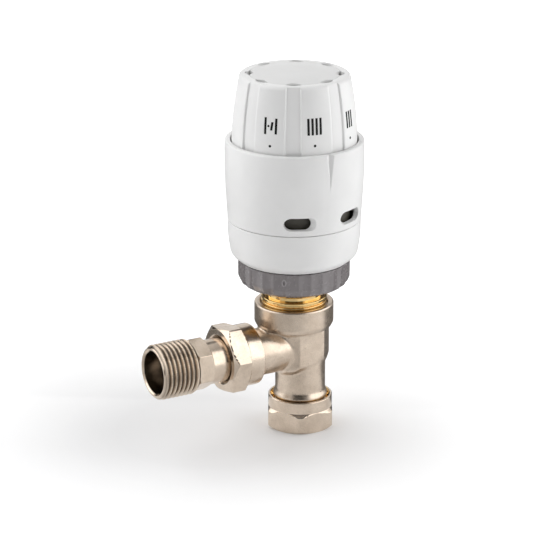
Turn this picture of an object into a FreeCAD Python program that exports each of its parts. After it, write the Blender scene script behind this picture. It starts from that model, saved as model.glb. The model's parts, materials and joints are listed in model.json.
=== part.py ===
"""Thermostatic radiator valve: angle valve body with a turnable sensor head.

Millimetres. The origin is the centre of the inlet nut's bottom face, on the inlet pipe's axis.
+Z is up, along the inlet pipe, and the radiator tail points along -X. Every piece is one node.
"""
import FreeCAD, Part
import math
import os

from FreeCAD import Vector

# --- pipe side ---------------------------------------------------------------------------------
PIPE_SOCKET_R = 7.6          # for 15 mm copper pipe
PIPE_SOCKET_TOP = 16.0       # the pipe stops here
WATERWAY_R = 5.6
NECK_R = 9.57                # outside of the vertical inlet neck
NECK_THREAD_R = 10.4
THREAD_PITCH = 1.814         # 1/2 inch pipe thread, 14 threads per inch
THREAD_DEPTH = 0.95
BODY_MOUTH_Z = 5.9           # lower end of the body, inside the inlet nut

INLET_NUT_AF = 24.5
INLET_NUT_CORNER_R = 13.5
INLET_NUT_COLLAR_R = 12.23
INLET_NUT_HEX_TOP = 7.9
INLET_NUT_TOP = 12.5

# --- radiator side (axis along X at this height) -----------------------------------------------
TAIL_Z = 32.64
BRANCH_R = 9.0
BRANCH_BORE_R = 6.5
BRANCH_END_X = -30.2
UNION_NUT_AF = 24.0
UNION_NUT_FRONT_X = -35.5
UNION_NUT_HEX_BACK_X = -28.0
UNION_NUT_BACK_X = -22.0
UNION_NUT_COLLAR_R = 11.8
UNION_NUT_TURN = 8.0         # angle of the first corner above the -Y direction, degrees
TAIL_THREAD_R = 10.4775      # 1/2 inch pipe thread, 20.955 mm outside
TAIL_END_X = -63.6
TAIL_THREAD_BACK_X = -49.1
TAIL_HEX_AF = 17.5
TAIL_HEX_X = (-48.4, -42.2)
TAIL_HEX_TURN = 36.0
TAIL_SHANK_R = 8.45
TAIL_FLANGE_R = 10.1
TAIL_FLANGE_X = (-33.4, -31.2)

# --- wrench block and cup ----------------------------------------------------------------------
HEAD_X = -2.87               # the cup, insert and head share this vertical axis
BLOCK_HALF_Y = 9.9
BLOCK_HALF_X = 10.0
BLOCK_CHAMFER = 5.2
BLOCK_TOP = 41.5
CUP_R = 15.05
CUP_TOP = 50.7
CUP_BORE_R = 9.95
CUP_RECESS_R = 12.75
CHAMBER_R = 7.0
SEAT_R = 5.0
SEAT_Z = 28.3

# --- knob travel -------------------------------------------------------------------------------
LIFT_MAX = 3.0               # stem lift over the knob's whole turn
KNOB_TURN = 270.0
KNOB_TO_CLOSED = 215.7       # turn left between the rest position and closed
LIFT_AT_REST = LIFT_MAX * KNOB_TO_CLOSED / KNOB_TURN
FACE_GAP = 0.05

# --- insert and stem ---------------------------------------------------------------------------
STEM_R = 2.0
STEM_FIT = 0.06
STEM_TOP = 62.0
STEM_BOTTOM = 33.6
INSERT_NECK_R = 10.9
INSERT_FLANGE_R = 12.45
INSERT_FLANGE_Z = (50.4, 53.4)
INSERT_COLLAR_R = 14.9
INSERT_TOP = 63.5
SPRING_SEAT_Z = 43.6
SPRING_PLATE_Z = (50.2, 51.0)

# --- head --------------------------------------------------------------------------------------
RING_BOTTOM = 57.85
RING_TOP = 67.8
RING_R = 21.2
RING_FLUTES = 28
SEAM_Z = 84.0
SLEEVE_TOP = 114.7
NOTCH_BOTTOM = 100.5
WALL = 2.0
WINDOW_X = 10.65             # the air windows lie this far each side of the index notch
WINDOW_Z = 88.75
WINDOW_WIDTH = 10.0
WINDOW_HEIGHT = 4.8
KNOB_BOTTOM = 101.0
KNOB_TOP = 139.7
KNOB_CAP_R = 17.0
GROOVE_COUNT = 8
GROOVE_AZIMUTH = -31.9       # from -Y towards +X
GROOVE_HALF_ANGLE = 7.3
GROOVE_DEPTH = 0.7
VENT_HALF_ANGLE = 9.0
KNOB_WALL = 1.9
FRAME_FLANGE_Z = (98.0, 100.0)
FRAME_VENT_AZIMUTHS = (0, 62, 81, 99, 118, 180, 242, 261, 279, 298)   # clear of the windows
CARRIER_THREAD_R = 16.1
CAPSULE_R = 11.95

MADE = {}


# --- geometry helpers --------------------------------------------------------------------------
def corner_arc(before, corner, after, radius):
    """Start, middle and end of the arc that rounds a corner of an outline."""
    to_before = (before - corner).normalize()
    to_after = (after - corner).normalize()
    half = to_before.getAngle(to_after) / 2.0
    reach = radius / math.tan(half)
    centre = corner + (to_before + to_after).normalize() * (radius / math.sin(half))
    start = corner + to_before * reach
    end = corner + to_after * reach
    middle = centre + (corner - centre).normalize() * radius
    return start, middle, end


def outline(points):
    """Closed face in the XZ plane. A point is (a, b) or (a, b, corner radius)."""
    corners = [Vector(p[0], 0, p[1]) for p in points]
    edges = []
    last = None
    first = None
    for i, point in enumerate(points):
        corner = corners[i]
        if len(point) == 3:
            after = corners[(i + 1) % len(points)]
            start, middle, end = corner_arc(corners[i - 1], corner, after, point[2])
        else:
            start, middle, end = corner, None, corner
        if last is not None and (start - last).Length > 1e-6:
            edges.append(Part.LineSegment(last, start).toShape())
        if middle is not None:
            edges.append(Part.Arc(start, middle, end).toShape())
        first = start if first is None else first
        last = end
    if (first - last).Length > 1e-6:
        edges.append(Part.LineSegment(last, first).toShape())
    return Part.Face(Part.Wire(edges))


def lathe(points, axis_x=HEAD_X, start=0.0, sweep=360.0):
    """Revolve an (r, z) outline about a vertical axis; start is an azimuth from -Y towards +X."""
    face = outline(points)
    face.rotate(Vector(0, 0, 0), Vector(0, 0, 1), start - 90.0)
    face.translate(Vector(axis_x, 0, 0))
    return face.revolve(Vector(axis_x, 0, 0), Vector(0, 0, 1), sweep)


def lathe_x(points):
    """Revolve an (x, r) outline about the radiator axis."""
    face = outline(points)
    face.translate(Vector(0, 0, TAIL_Z))
    return face.revolve(Vector(0, 0, TAIL_Z), Vector(1, 0, 0), 360)


def cylinder(radius, z0, z1, x=HEAD_X, y=0.0):
    return Part.makeCylinder(radius, z1 - z0, Vector(x, y, z0), Vector(0, 0, 1))


def cylinder_x(radius, x0, x1):
    return Part.makeCylinder(radius, x1 - x0, Vector(x0, 0, TAIL_Z), Vector(1, 0, 0))


def hexagon_z(across_flats, z0, z1, x, corner_azimuth):
    radius = across_flats / 2.0 / math.cos(math.radians(30))
    points = []
    for k in range(7):
        angle = math.radians(corner_azimuth + 60 * k - 90)
        points.append(Vector(x + radius * math.cos(angle), radius * math.sin(angle), z0))
    return Part.Face(Part.makePolygon(points)).extrude(Vector(0, 0, z1 - z0))


def hexagon_x(across_flats, x0, x1, corner_turn):
    radius = across_flats / 2.0 / math.cos(math.radians(30))
    points = []
    for k in range(7):
        angle = math.radians(corner_turn + 60 * k)
        points.append(Vector(x0, -radius * math.cos(angle), TAIL_Z + radius * math.sin(angle)))
    return Part.Face(Part.makePolygon(points)).extrude(Vector(x1 - x0, 0, 0))


def thread_teeth(start, length, crest, step=THREAD_PITCH, depth=THREAD_DEPTH):
    """Outline points (along, radius) of thread ridges, starting and ending on a root."""
    count = int(length / step)
    points = []
    for k in range(count):
        base = start + k * step
        points += [(base, crest - depth), (base + step * 0.42, crest), (base + step * 0.58, crest)]
    points.append((start + count * step, crest - depth))
    return points


def swapped(points):
    return [(b, a) for a, b in points]


def ring_of_round_wire(radius, wire_r, z, axis_x=HEAD_X):
    return Part.makeTorus(radius, wire_r, Vector(axis_x, 0, z), Vector(0, 0, 1))


def coil_spring(mean_r, wire_r, z0, z1, turns):
    """Helical spring with its wire ends inside z0..z1."""
    low = z0 + wire_r
    height = z1 - z0 - 2 * wire_r
    helix = Part.makeHelix(height / turns, height, mean_r)
    helix.translate(Vector(HEAD_X, 0, low))
    start = Vector(HEAD_X + mean_r, 0, low)
    section = Part.Wire([Part.makeCircle(wire_r, start, Vector(0, 1, 0))])
    return Part.Wire(helix.Edges).makePipeShell([section], True, True)


def helical_groove(crest_r, depth, x0, x1):
    """Solid to cut from a cylinder along X: a 55-degree thread groove from x0 to x1."""
    length = x1 - x0
    helix = Part.makeHelix(THREAD_PITCH, length, crest_r)
    half = THREAD_PITCH * 0.44
    over = 0.25
    slope = half / depth
    section = Part.makePolygon([
        Vector(crest_r - depth, 0, -0.10),
        Vector(crest_r - depth, 0, 0.10),
        Vector(crest_r + over, 0, half + over * slope),
        Vector(crest_r + over, 0, -half - over * slope),
        Vector(crest_r - depth, 0, -0.10),
    ])
    groove = Part.Wire(helix.Edges).makePipeShell([section], True, True)
    groove.rotate(Vector(0, 0, 0), Vector(0, 1, 0), 90)
    groove.translate(Vector(x0, 0, TAIL_Z))
    return groove


def save(name, shape):
    """Write one node's STEP file and print a line about it."""
    if shape.ShapeType == "Compound" and len(shape.Solids) == 1:
        shape = shape.Solids[0]
    shape.exportStep("parts/%s.step" % name)
    MADE[name] = shape
    facts = (name, shape.isValid(), len(shape.Solids), shape.Volume)
    print("%-18s valid=%s solids=%d volume=%.0f mm3" % facts)


# --- valve body --------------------------------------------------------------------------------
def inlet_neck():
    outer = [(0.0, BODY_MOUTH_Z), (9.6, BODY_MOUTH_Z)]
    outer += swapped(thread_teeth(BODY_MOUTH_Z + 0.4, 4.0, NECK_THREAD_R))
    outer += [
        (9.3, 11.4), (10.35, 12.2, 0.5), (10.35, 13.2, 1.2), (NECK_R, 15.0, 3.0), (NECK_R, 34.0),
        (0.0, 34.0),
    ]
    return lathe(outer, axis_x=0.0)


def side_branch():
    outer = [(-2.0, 0.0), (BRANCH_END_X, 0.0), (BRANCH_END_X, 9.3)]
    outer += thread_teeth(BRANCH_END_X + 0.4, 7.3, NECK_THREAD_R)
    outer += [
        (-22.6, 8.6), (-21.6, 8.6), (-21.2, BRANCH_R), (-13.5, BRANCH_R), (-9.5, 8.5), (-2.0, 8.5),
    ]
    return lathe_x(outer)


def wrench_block():
    """Octagonal block between neck and cup; its underside is rounded about the radiator axis."""
    c = BLOCK_CHAMFER
    corners = [
        (-10.2, -6.0), (-6.0, -BLOCK_HALF_Y), (BLOCK_HALF_X - c, -BLOCK_HALF_Y),
        (BLOCK_HALF_X, -BLOCK_HALF_Y + c),
    ]
    ring = corners + [(x, -y) for x, y in reversed(corners)]
    points = [Vector(x, y, 20.0) for x, y in ring]
    prism = Part.Face(Part.makePolygon(points + points[:1])).extrude(Vector(0, 0, BLOCK_TOP - 20.0))
    rounding = lathe_x([
        (-11.0, 0), (-11.0, 9.6), (-7.0, 11.6, 6), (0.0, 11.6, 14), (7.5, 9.0, 5), (10.6, 5.4, 1),
        (10.6, 0),
    ])
    upper = Part.makeBox(40, 40, 12, Vector(-20, -20, TAIL_Z))
    return prism.common(rounding.fuse(upper))


def cup():
    return lathe([
        (0, 36.5), (9.4, 36.5), (10.6, 40.2, 2.5), (14.2, 41.3, 1.0), (CUP_R, 43.0, 1.2),
        (CUP_R, CUP_TOP - 0.8, 0.3), (CUP_R - 0.8, CUP_TOP, 0.3), (0, CUP_TOP),
    ])


def body_hollow():
    """Everything that is bored out of the forging."""
    socket = lathe([
        (0, 5.0), (9.5, 5.0), (8.95, BODY_MOUTH_Z), (PIPE_SOCKET_R, 8.6),
        (PIPE_SOCKET_R, PIPE_SOCKET_TOP), (WATERWAY_R, PIPE_SOCKET_TOP), (0, PIPE_SOCKET_TOP),
    ], axis_x=0.0)
    waterway = cylinder(WATERWAY_R, PIPE_SOCKET_TOP - 0.5, 23.0, x=-1.2)
    upper = lathe([
        (0, 22.0), (SEAT_R, 22.0), (SEAT_R, SEAT_Z), (SEAT_R + 0.7, SEAT_Z), (SEAT_R + 1.0, 27.4),
        (CHAMBER_R, 27.4), (CHAMBER_R, 38.6), (CUP_BORE_R, 38.6), (CUP_BORE_R, 49.0),
        (CUP_RECESS_R, 49.0), (CUP_RECESS_R, 50.3), (13.1, CUP_TOP), (13.1, CUP_TOP + 1),
        (0, CUP_TOP + 1),
    ])
    branch = lathe_x([
        (HEAD_X, 0), (HEAD_X, BRANCH_BORE_R), (BRANCH_END_X + 1.2, BRANCH_BORE_R),
        (BRANCH_END_X - 0.5, 7.9), (BRANCH_END_X - 0.5, 0),
    ])
    lip = lathe([
        (SEAT_R, 26.0), (CHAMBER_R, 26.0), (CHAMBER_R, 27.4), (SEAT_R + 1.0, 27.4),
        (SEAT_R + 0.7, SEAT_Z), (SEAT_R, SEAT_Z),
    ])
    return socket.fuse([waterway, upper, branch.cut(lip)])


def valve_body():
    solid = inlet_neck().fuse([side_branch(), wrench_block(), cup()])
    return solid.cut(body_hollow()).removeSplitter()


# --- compression joint -------------------------------------------------------------------------
def compression_nut():
    turned = lathe([
        (0, 0), (12.2, 0, 0.4), (INLET_NUT_CORNER_R, 1.1, 0.4), (INLET_NUT_CORNER_R, 6.9, 0.3),
        (INLET_NUT_COLLAR_R, INLET_NUT_HEX_TOP, 0.3), (INLET_NUT_COLLAR_R, INLET_NUT_TOP, 0.5),
        (0, INLET_NUT_TOP),
    ], axis_x=0.0)
    hexagon = hexagon_z(INLET_NUT_AF, -1, INLET_NUT_TOP + 1, 0.0, -30.0)
    hollow = lathe([
        (0, -1), (8.9, -1), (PIPE_SOCKET_R, 0.5), (PIPE_SOCKET_R, 2.7), (8.95, 5.2), (10.55, 5.2),
        (10.55, 11.2), (11.5, INLET_NUT_TOP), (11.5, INLET_NUT_TOP + 1), (0, INLET_NUT_TOP + 1),
    ], axis_x=0.0)
    return turned.common(hexagon).cut(hollow)


def olive():
    return lathe([
        (PIPE_SOCKET_R, 3.1), (7.75, 3.1), (8.72, 5.2, 0.6), (8.72, 6.1, 0.6), (7.75, 8.0),
        (PIPE_SOCKET_R, 8.0),
    ], axis_x=0.0)


# --- union joint -------------------------------------------------------------------------------
def union_nut():
    turned = lathe_x([
        (UNION_NUT_FRONT_X, 0), (UNION_NUT_FRONT_X, 11.6, 0.3), (-33.9, 13.86, 0.3),
        (-29.0, 13.86, 0.3), (UNION_NUT_HEX_BACK_X, UNION_NUT_COLLAR_R, 0.5),
        (UNION_NUT_BACK_X, UNION_NUT_COLLAR_R, 0.7), (UNION_NUT_BACK_X, 0),
    ])
    hexagon = hexagon_x(UNION_NUT_AF, UNION_NUT_FRONT_X - 1, UNION_NUT_BACK_X + 1, UNION_NUT_TURN)
    collar = cylinder_x(UNION_NUT_COLLAR_R, UNION_NUT_HEX_BACK_X, UNION_NUT_BACK_X)
    hollow = lathe_x([
        (UNION_NUT_FRONT_X - 1, 0), (UNION_NUT_FRONT_X - 1, 9.6), (UNION_NUT_FRONT_X + 0.5, 8.9),
        (-33.5, 8.9), (-33.5, 10.55), (UNION_NUT_BACK_X - 0.6, 10.55), (UNION_NUT_BACK_X, 11.0),
        (UNION_NUT_BACK_X + 1, 11.0), (UNION_NUT_BACK_X + 1, 0),
    ])
    return turned.common(hexagon.fuse(collar)).cut(hollow)


def tailpiece():
    threaded = lathe_x([
        (TAIL_END_X, 0), (TAIL_END_X, 9.2), (TAIL_END_X + 1.1, TAIL_THREAD_R),
        (TAIL_THREAD_BACK_X, TAIL_THREAD_R), (TAIL_THREAD_BACK_X + 0.6, 9.2),
        (TAIL_HEX_X[0] + 0.2, 9.2), (TAIL_HEX_X[0] + 0.2, 0),
    ])
    groove = helical_groove(TAIL_THREAD_R, THREAD_DEPTH, TAIL_END_X - 1.0, TAIL_THREAD_BACK_X - 0.4)
    threaded = threaded.cut(groove)
    corner = TAIL_HEX_AF / 2 / math.cos(math.radians(30))
    hex_turned = lathe_x([
        (TAIL_HEX_X[0], 0), (TAIL_HEX_X[0], 9.5), (TAIL_HEX_X[0] + 0.4, corner),
        (TAIL_HEX_X[1] - 0.8, corner), (TAIL_HEX_X[1], 9.1), (TAIL_HEX_X[1], 0),
    ])
    prism = hexagon_x(TAIL_HEX_AF, TAIL_HEX_X[0] - 1, TAIL_HEX_X[1] + 1, TAIL_HEX_TURN)
    hexagon = hex_turned.common(prism)
    shank = lathe_x([
        (TAIL_HEX_X[1] - 0.2, 0), (TAIL_HEX_X[1] - 0.2, TAIL_SHANK_R),
        (TAIL_FLANGE_X[0], TAIL_SHANK_R), (TAIL_FLANGE_X[0], TAIL_FLANGE_R, 0.3),
        (TAIL_FLANGE_X[1], TAIL_FLANGE_R, 0.3), (TAIL_FLANGE_X[1], 0),
    ])
    bore = lathe_x([
        (TAIL_END_X - 1, 0), (TAIL_END_X - 1, 8.7), (TAIL_END_X + 0.6, 8.1), (-52.0, 8.1),
        (-50.4, BRANCH_BORE_R), (TAIL_FLANGE_X[1] + 1, BRANCH_BORE_R), (TAIL_FLANGE_X[1] + 1, 0),
    ])
    return threaded.fuse([hexagon, shank]).cut(bore)


def union_gasket():
    return lathe_x([(-31.15, 8.0), (-31.15, 9.7), (-30.25, 9.7), (-30.25, 8.0)])


# --- insert, gland and stem --------------------------------------------------------------------
def valve_insert():
    outer = [(0, 38.7), (9.2, 38.7)]
    outer += swapped(thread_teeth(39.0, 9.0, CUP_BORE_R - 0.05, step=1.5, depth=0.7))
    outer += [
        (9.2, 48.9), (9.8, INSERT_FLANGE_Z[0]), (INSERT_FLANGE_R, INSERT_FLANGE_Z[0]),
        (INSERT_FLANGE_R, 51.5, 0.2), (11.8, 51.7), (11.8, 52.1), (INSERT_FLANGE_R, 52.3, 0.2),
        (INSERT_FLANGE_R, INSERT_FLANGE_Z[1], 0.4), (INSERT_NECK_R, INSERT_FLANGE_Z[1]),
        (INSERT_NECK_R, 54.9), (10.5, 55.2), (INSERT_NECK_R, 55.5), (INSERT_NECK_R, 56.1),
        (10.5, 56.4), (INSERT_NECK_R, 56.7), (INSERT_NECK_R, 57.8), (13.9, 58.4),
    ]
    outer += swapped(thread_teeth(58.7, 4.5, INSERT_COLLAR_R, step=1.5, depth=0.8))
    outer += [(14.1, INSERT_TOP), (0, INSERT_TOP)]
    hollow = lathe([
        (0, 38), (6.9, 38), (6.9, 42.0), (STEM_R + STEM_FIT, 42.0),
        (STEM_R + STEM_FIT, SPRING_SEAT_Z), (6.0, SPRING_SEAT_Z), (6.0, 53.4), (6.5, 53.4),
        (6.5, 57.6), (9.0, 57.6), (9.0, 63.0), (9.5, INSERT_TOP), (9.5, INSERT_TOP + 1),
        (0, INSERT_TOP + 1),
    ])
    return lathe(outer).cut(hollow)


def insert_o_ring():
    return ring_of_round_wire(10.75, 0.68, 49.7)


def gland_nut():
    shank = cylinder(6.45, 53.5, 57.6)
    head = hexagon_z(12.0, 57.6, 59.2, HEAD_X, 0.0)
    hollow = lathe([
        (0, 53), (STEM_R + STEM_FIT, 53), (STEM_R + STEM_FIT, 54.4), (3.9, 54.4), (3.9, 56.8),
        (STEM_R + STEM_FIT, 56.8), (STEM_R + STEM_FIT, 60), (0, 60),
    ])
    return shank.fuse(head).cut(hollow).removeSplitter()


def gland_o_ring():
    return ring_of_round_wire(2.95, 0.88, 55.6)


def valve_stem():
    rod = lathe([
        (0, STEM_BOTTOM), (STEM_R, STEM_BOTTOM), (STEM_R, 51.05), (1.5, 51.05), (1.5, 51.65),
        (STEM_R, 51.65), (STEM_R, STEM_TOP, 0.6), (0, STEM_TOP),
    ])
    return rod.cut(cylinder(1.2, STEM_BOTTOM - 1, 36.6))


def stem_clip():
    clip = cylinder(4.2, 51.08, 51.62).cut(cylinder(1.53, 51.0, 52.0))
    return clip.cut(Part.makeBox(6, 2.4, 2, Vector(HEAD_X, -1.2, 50.8)))


def spring_cap():
    return lathe([
        (STEM_R + 0.03, 49.4), (3.0, 49.4), (3.0, SPRING_PLATE_Z[0]), (5.5, SPRING_PLATE_Z[0]),
        (5.5, SPRING_PLATE_Z[1]), (STEM_R + 0.03, SPRING_PLATE_Z[1]),
    ])


def return_spring():
    return coil_spring(4.1, 0.35, SPRING_SEAT_Z + 0.05, SPRING_PLATE_Z[0] - 0.05, 4)


def plug_bottom():
    return SEAT_Z + LIFT_AT_REST + FACE_GAP


def plug_holder():
    low = plug_bottom()
    return lathe([
        (1.35, low + 1.8), (6.0, low + 1.8), (6.0, low + 0.5), (6.4, low + 0.5),
        (6.4, low + 2.5, 0.3), (3.6, low + 3.2), (3.6, low + 6.0, 0.3), (STEM_R + 0.02, low + 6.0),
        (STEM_R + 0.02, STEM_BOTTOM), (1.35, STEM_BOTTOM),
    ])


def seat_washer():
    low = plug_bottom()
    return lathe([(1.35, low), (5.95, low, 0.25), (5.95, low + 1.8), (1.35, low + 1.8)])


def washer_screw():
    low = plug_bottom()
    shank = cylinder(1.15, low - 0.3, 36.3)
    head = lathe([(0, low - 1.3), (2.4, low - 1.3, 0.5), (2.6, low), (0, low)])
    slot = Part.makeBox(6, 0.6, 0.7, Vector(HEAD_X - 3, -0.3, low - 1.4))
    return shank.fuse(head).cut(slot)


# --- head: ring, frame and covers --------------------------------------------------------------
def locking_ring():
    blank = lathe([
        (0, RING_BOTTOM), (18.0, RING_BOTTOM, 0.8), (20.2, 59.2, 2.0), (RING_R, 61.6, 2.0),
        (RING_R, RING_TOP, 0.4), (0, RING_TOP),
    ])
    hollow = lathe([
        (0, 57), (16.2, 57), (15.0, 58.9), (15.0, 63.55), (16.7, 63.55), (16.7, 65.75),
        (15.32, 65.75), (15.32, 68), (0, 68),
    ])
    ring = blank.cut(hollow)
    cutter_r = 9.0
    reach = RING_R + cutter_r - 0.38
    for k in range(RING_FLUTES):
        angle = math.radians(360.0 * (k + 0.5) / RING_FLUTES - 90)
        x, y = HEAD_X + reach * math.cos(angle), reach * math.sin(angle)
        flute = cylinder(cutter_r, RING_BOTTOM - 1, RING_TOP + 1, x, y)
        ring = ring.cut(flute)
    return ring


def head_frame():
    shell = lathe([
        (13.0, 63.55), (16.5, 63.55, 0.3), (16.5, 65.6, 0.3), (15.2, 65.6), (15.2, 71.0),
        (21.8, 71.0), (21.8, 98.0), (23.2, 98.0), (23.2, 100.0), (21.3, 100.0), (21.3, 101.5),
        (20.55, 101.5), (20.55, 102.7), (21.3, 102.7), (21.3, 103.6, 0.3), (19.6, 103.6),
        (19.6, 98.0), (20.2, 97.0), (20.2, 73.0), (2.68, 73.0), (2.68, 66.5), (4.6, 66.5, 0.4),
        (4.6, 71.0), (13.0, 71.0),
    ])
    guide = cylinder(16.4, 72.5, 97.0).cut(cylinder(14.15, 72.0, 98.0))
    for k in range(4):
        slot = Part.makeBox(5, 2.4, 20, Vector(13, -1.2, 81.0))
        slot.rotate(Vector(0, 0, 0), Vector(0, 0, 1), 45 + 90 * k)
        slot.translate(Vector(HEAD_X, 0, 0))
        guide = guide.cut(slot)
    frame = shell.fuse(guide)
    for azimuth in FRAME_VENT_AZIMUTHS:
        vent = Part.makeBox(6, 3.2, 18, Vector(18.0, -1.6, 77.0))
        vent.rotate(Vector(0, 0, 0), Vector(0, 0, 1), azimuth - 90)
        vent.translate(Vector(HEAD_X, 0, 0))
        frame = frame.cut(vent)
    for x, y in limit_pin_places():
        frame = frame.cut(cylinder(0.92, 70.5, 73.5, x, y))
    return frame.removeSplitter()


def limit_pin_places():
    places = []
    for azimuth in (160.0, 200.0):
        angle = math.radians(azimuth - 90)
        places.append((HEAD_X + 18.4 * math.cos(angle), 18.4 * math.sin(angle)))
    return places


def limit_pins():
    pins = []
    for x, y in limit_pin_places():
        pins.append(cylinder(0.9, 70.4, 76.0, x, y).fuse(cylinder(1.5, 70.0, 70.9, x, y)))
    return Part.makeCompound(pins)


def lower_ring():
    return lathe([
        (15.6, 68.1), (20.9, 68.1, 0.3), (23.9, 70.6, 3.0), (24.9, 77.0, 30.0),
        (25.1, SEAM_Z - 0.1, 0.25), (23.95, SEAM_Z - 0.1), (23.95, 82.0), (23.1, 82.0),
        (22.9, 77.0), (22.1, 71.2), (22.0, 70.9), (19.9, 70.9), (19.9, 69.9), (15.6, 69.9),
    ])


def sleeve_shell():
    return lathe([
        (23.05, 82.3), (23.85, 82.3), (23.85, SEAM_Z + 0.1), (25.1, SEAM_Z + 0.1, 0.25),
        (25.75, 95.0, 60), (26.15, 104.0, 60), (26.1, SLEEVE_TOP, 1.8), (24.05, SLEEVE_TOP, 0.2),
        (24.05, 111.5), (23.75, 101.0), (23.75, 97.9), (22.8, 97.9), (22.8, 96.9), (23.65, 96.0),
    ])


def window_cutter(x):
    """Slot with round ends at this distance from the notch's plane, cut along Y through front and back."""
    half = (WINDOW_WIDTH - WINDOW_HEIGHT) / 2.0
    r = WINDOW_HEIGHT / 2.0
    span = 60.0
    middle = Part.makeBox(2 * half, span, 2 * r, Vector(-half, -span / 2, -r))
    along = Vector(0, 1, 0)
    ends = [Part.makeCylinder(r, span, Vector(end, -span / 2, 0), along) for end in (-half, half)]
    cutter = middle.fuse(ends).removeSplitter()
    cutter.translate(Vector(HEAD_X + x, 0, WINDOW_Z))
    return cutter


def notch_triangle(half_width, inner_y, z):
    outer_y = -27.5
    corners = [Vector(-half_width, outer_y, z), Vector(half_width, outer_y, z), Vector(0, inner_y, z)]
    return Part.makePolygon(corners + corners[:1])


def index_notch():
    """Tapered V-notch at the top front of the sleeve: the pointer for the scale."""
    wide = notch_triangle(1.5, -25.35, SLEEVE_TOP + 0.5)
    point = notch_triangle(0.05, -26.1, NOTCH_BOTTOM)
    notch = Part.makeLoft([wide, point], True, True)
    notch.translate(Vector(HEAD_X, 0, 0))
    return notch


def outer_sleeve():
    sleeve = sleeve_shell()
    for x in (-WINDOW_X, WINDOW_X):
        sleeve = sleeve.cut(window_cutter(x))
    return sleeve.cut(index_notch())


# --- head: knob --------------------------------------------------------------------------------
def knob_side(z):
    """Outside radius of the knob at a height."""
    return 23.66 - 0.02 * (z - 112.0) - 1.93 * max(0.0, (z - 116.0) / 21.0) ** 1.86


def groove_azimuths():
    return [GROOVE_AZIMUTH + 360.0 * k / GROOVE_COUNT for k in range(GROOVE_COUNT)]


def sector(outline, azimuth, half_angle):
    """Part of a turned outline, this far to each side of an azimuth."""
    return lathe(outline, start=azimuth - half_angle, sweep=2 * half_angle)


def setting_knob():
    """Domed skirt with eight upright grooves, a flat top over a tube, and vents below the cap's edge."""
    heights = (116.0, 119.0, 122.0, 125.0, 128.0, 131.0, 134.0, 136.5)
    side = [(knob_side(z), z, 40) for z in heights]
    inner = [(knob_side(z) - KNOB_WALL, z) for z in (130.0, 124.0, 118.0)]
    shell = lathe([
        (21.6, KNOB_BOTTOM), (23.2, KNOB_BOTTOM, 0.3), (23.3, 110.5), (23.6, 112.5)] + side + [
        (20.7, KNOB_TOP, 1.8), (KNOB_CAP_R + 0.1, KNOB_TOP), (KNOB_CAP_R + 0.1, 138.0),
        (3.0, 138.0), (3.0, 136.2),
        (16.35, 136.2), (16.35, 102.6), (17.4, 102.6), (17.4, 135.6), (19.0, 136.6)] + inner + [
        (21.6, 112.0), (21.6, 102.8), (22.1, 102.7), (22.1, 101.5), (21.6, 101.4),
    ])
    floor = [(knob_side(z) - GROOVE_DEPTH, z) for z in (112.0, *heights, 141.0)]
    groove = floor + [(26.0, 141.0), (26.0, 112.0)]
    vent = [
        (17.0, 137.2), (17.6, 136.2), (17.6, 134.0), (18.6, 134.0), (18.6, 137.2), (17.9, 137.8),
        (17.9, 141.0), (17.0, 141.0),
    ]
    for azimuth in groove_azimuths():
        shell = shell.cut(sector(groove, azimuth, GROOVE_HALF_ANGLE))
        shell = shell.cut(sector(vent, azimuth, VENT_HALF_ANGLE))
    return shell


def knob_cap():
    """Flush disc in the knob's top; eight steep scoops at its edge lead into the vents."""
    cap = lathe([
        (0, 138.05), (16.6, 138.05), (KNOB_CAP_R, 138.4), (KNOB_CAP_R, KNOB_TOP, 0.15),
        (9.0, 140.4, 60), (0, 140.6),
    ])
    scoop = [(15.8, 139.4), (16.4, 138.0), (17.5, 137.5), (17.5, 141.0), (15.8, 141.0)]
    for azimuth in groove_azimuths():
        cap = cap.cut(sector(scoop, azimuth, VENT_HALF_ANGLE))
    return cap


def thrust_washer():
    return lathe([(21.75, 100.05), (23.0, 100.05), (23.0, 100.9), (21.75, 100.9)])


def knob_clip():
    wire = ring_of_round_wire(21.15, 0.42, 102.1)
    return wire.cut(Part.makeBox(6, 5, 4, Vector(HEAD_X + 18, -2.5, 100)))


# --- head: element -----------------------------------------------------------------------------
def element_carrier():
    outer = [(12.1, 84.0), (14.0, 84.0), (14.0, 101.0), (15.0, 101.0)]
    outer += swapped(thread_teeth(101.4, 16.0, CARRIER_THREAD_R, step=2.0, depth=0.8))
    outer += [
        (15.0, 118.0), (14.4, 119.6, 0.4), (0, 119.6), (0, 117.9), (12.1, 117.9), (12.1, 85.9),
        (12.7, 85.9), (12.7, 84.9), (12.1, 84.9),
    ]
    carrier = lathe(outer)
    for k in range(4):
        key = Part.makeBox(2.1, 2.0, 10, Vector(13.8, -1.0, 86.0))
        key.rotate(Vector(0, 0, 0), Vector(0, 0, 1), 45 + 90 * k)
        key.translate(Vector(HEAD_X, 0, 0))
        carrier = carrier.fuse(key)
    return carrier.removeSplitter()


def sensor_capsule():
    return lathe([
        (6.9, 86.0), (CAPSULE_R, 86.0, 0.4), (CAPSULE_R, 117.8, 1.5), (0, 117.8), (0, 117.1),
        (11.3, 117.1, 1.0), (11.3, 86.7), (6.9, 86.7),
    ])


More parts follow.
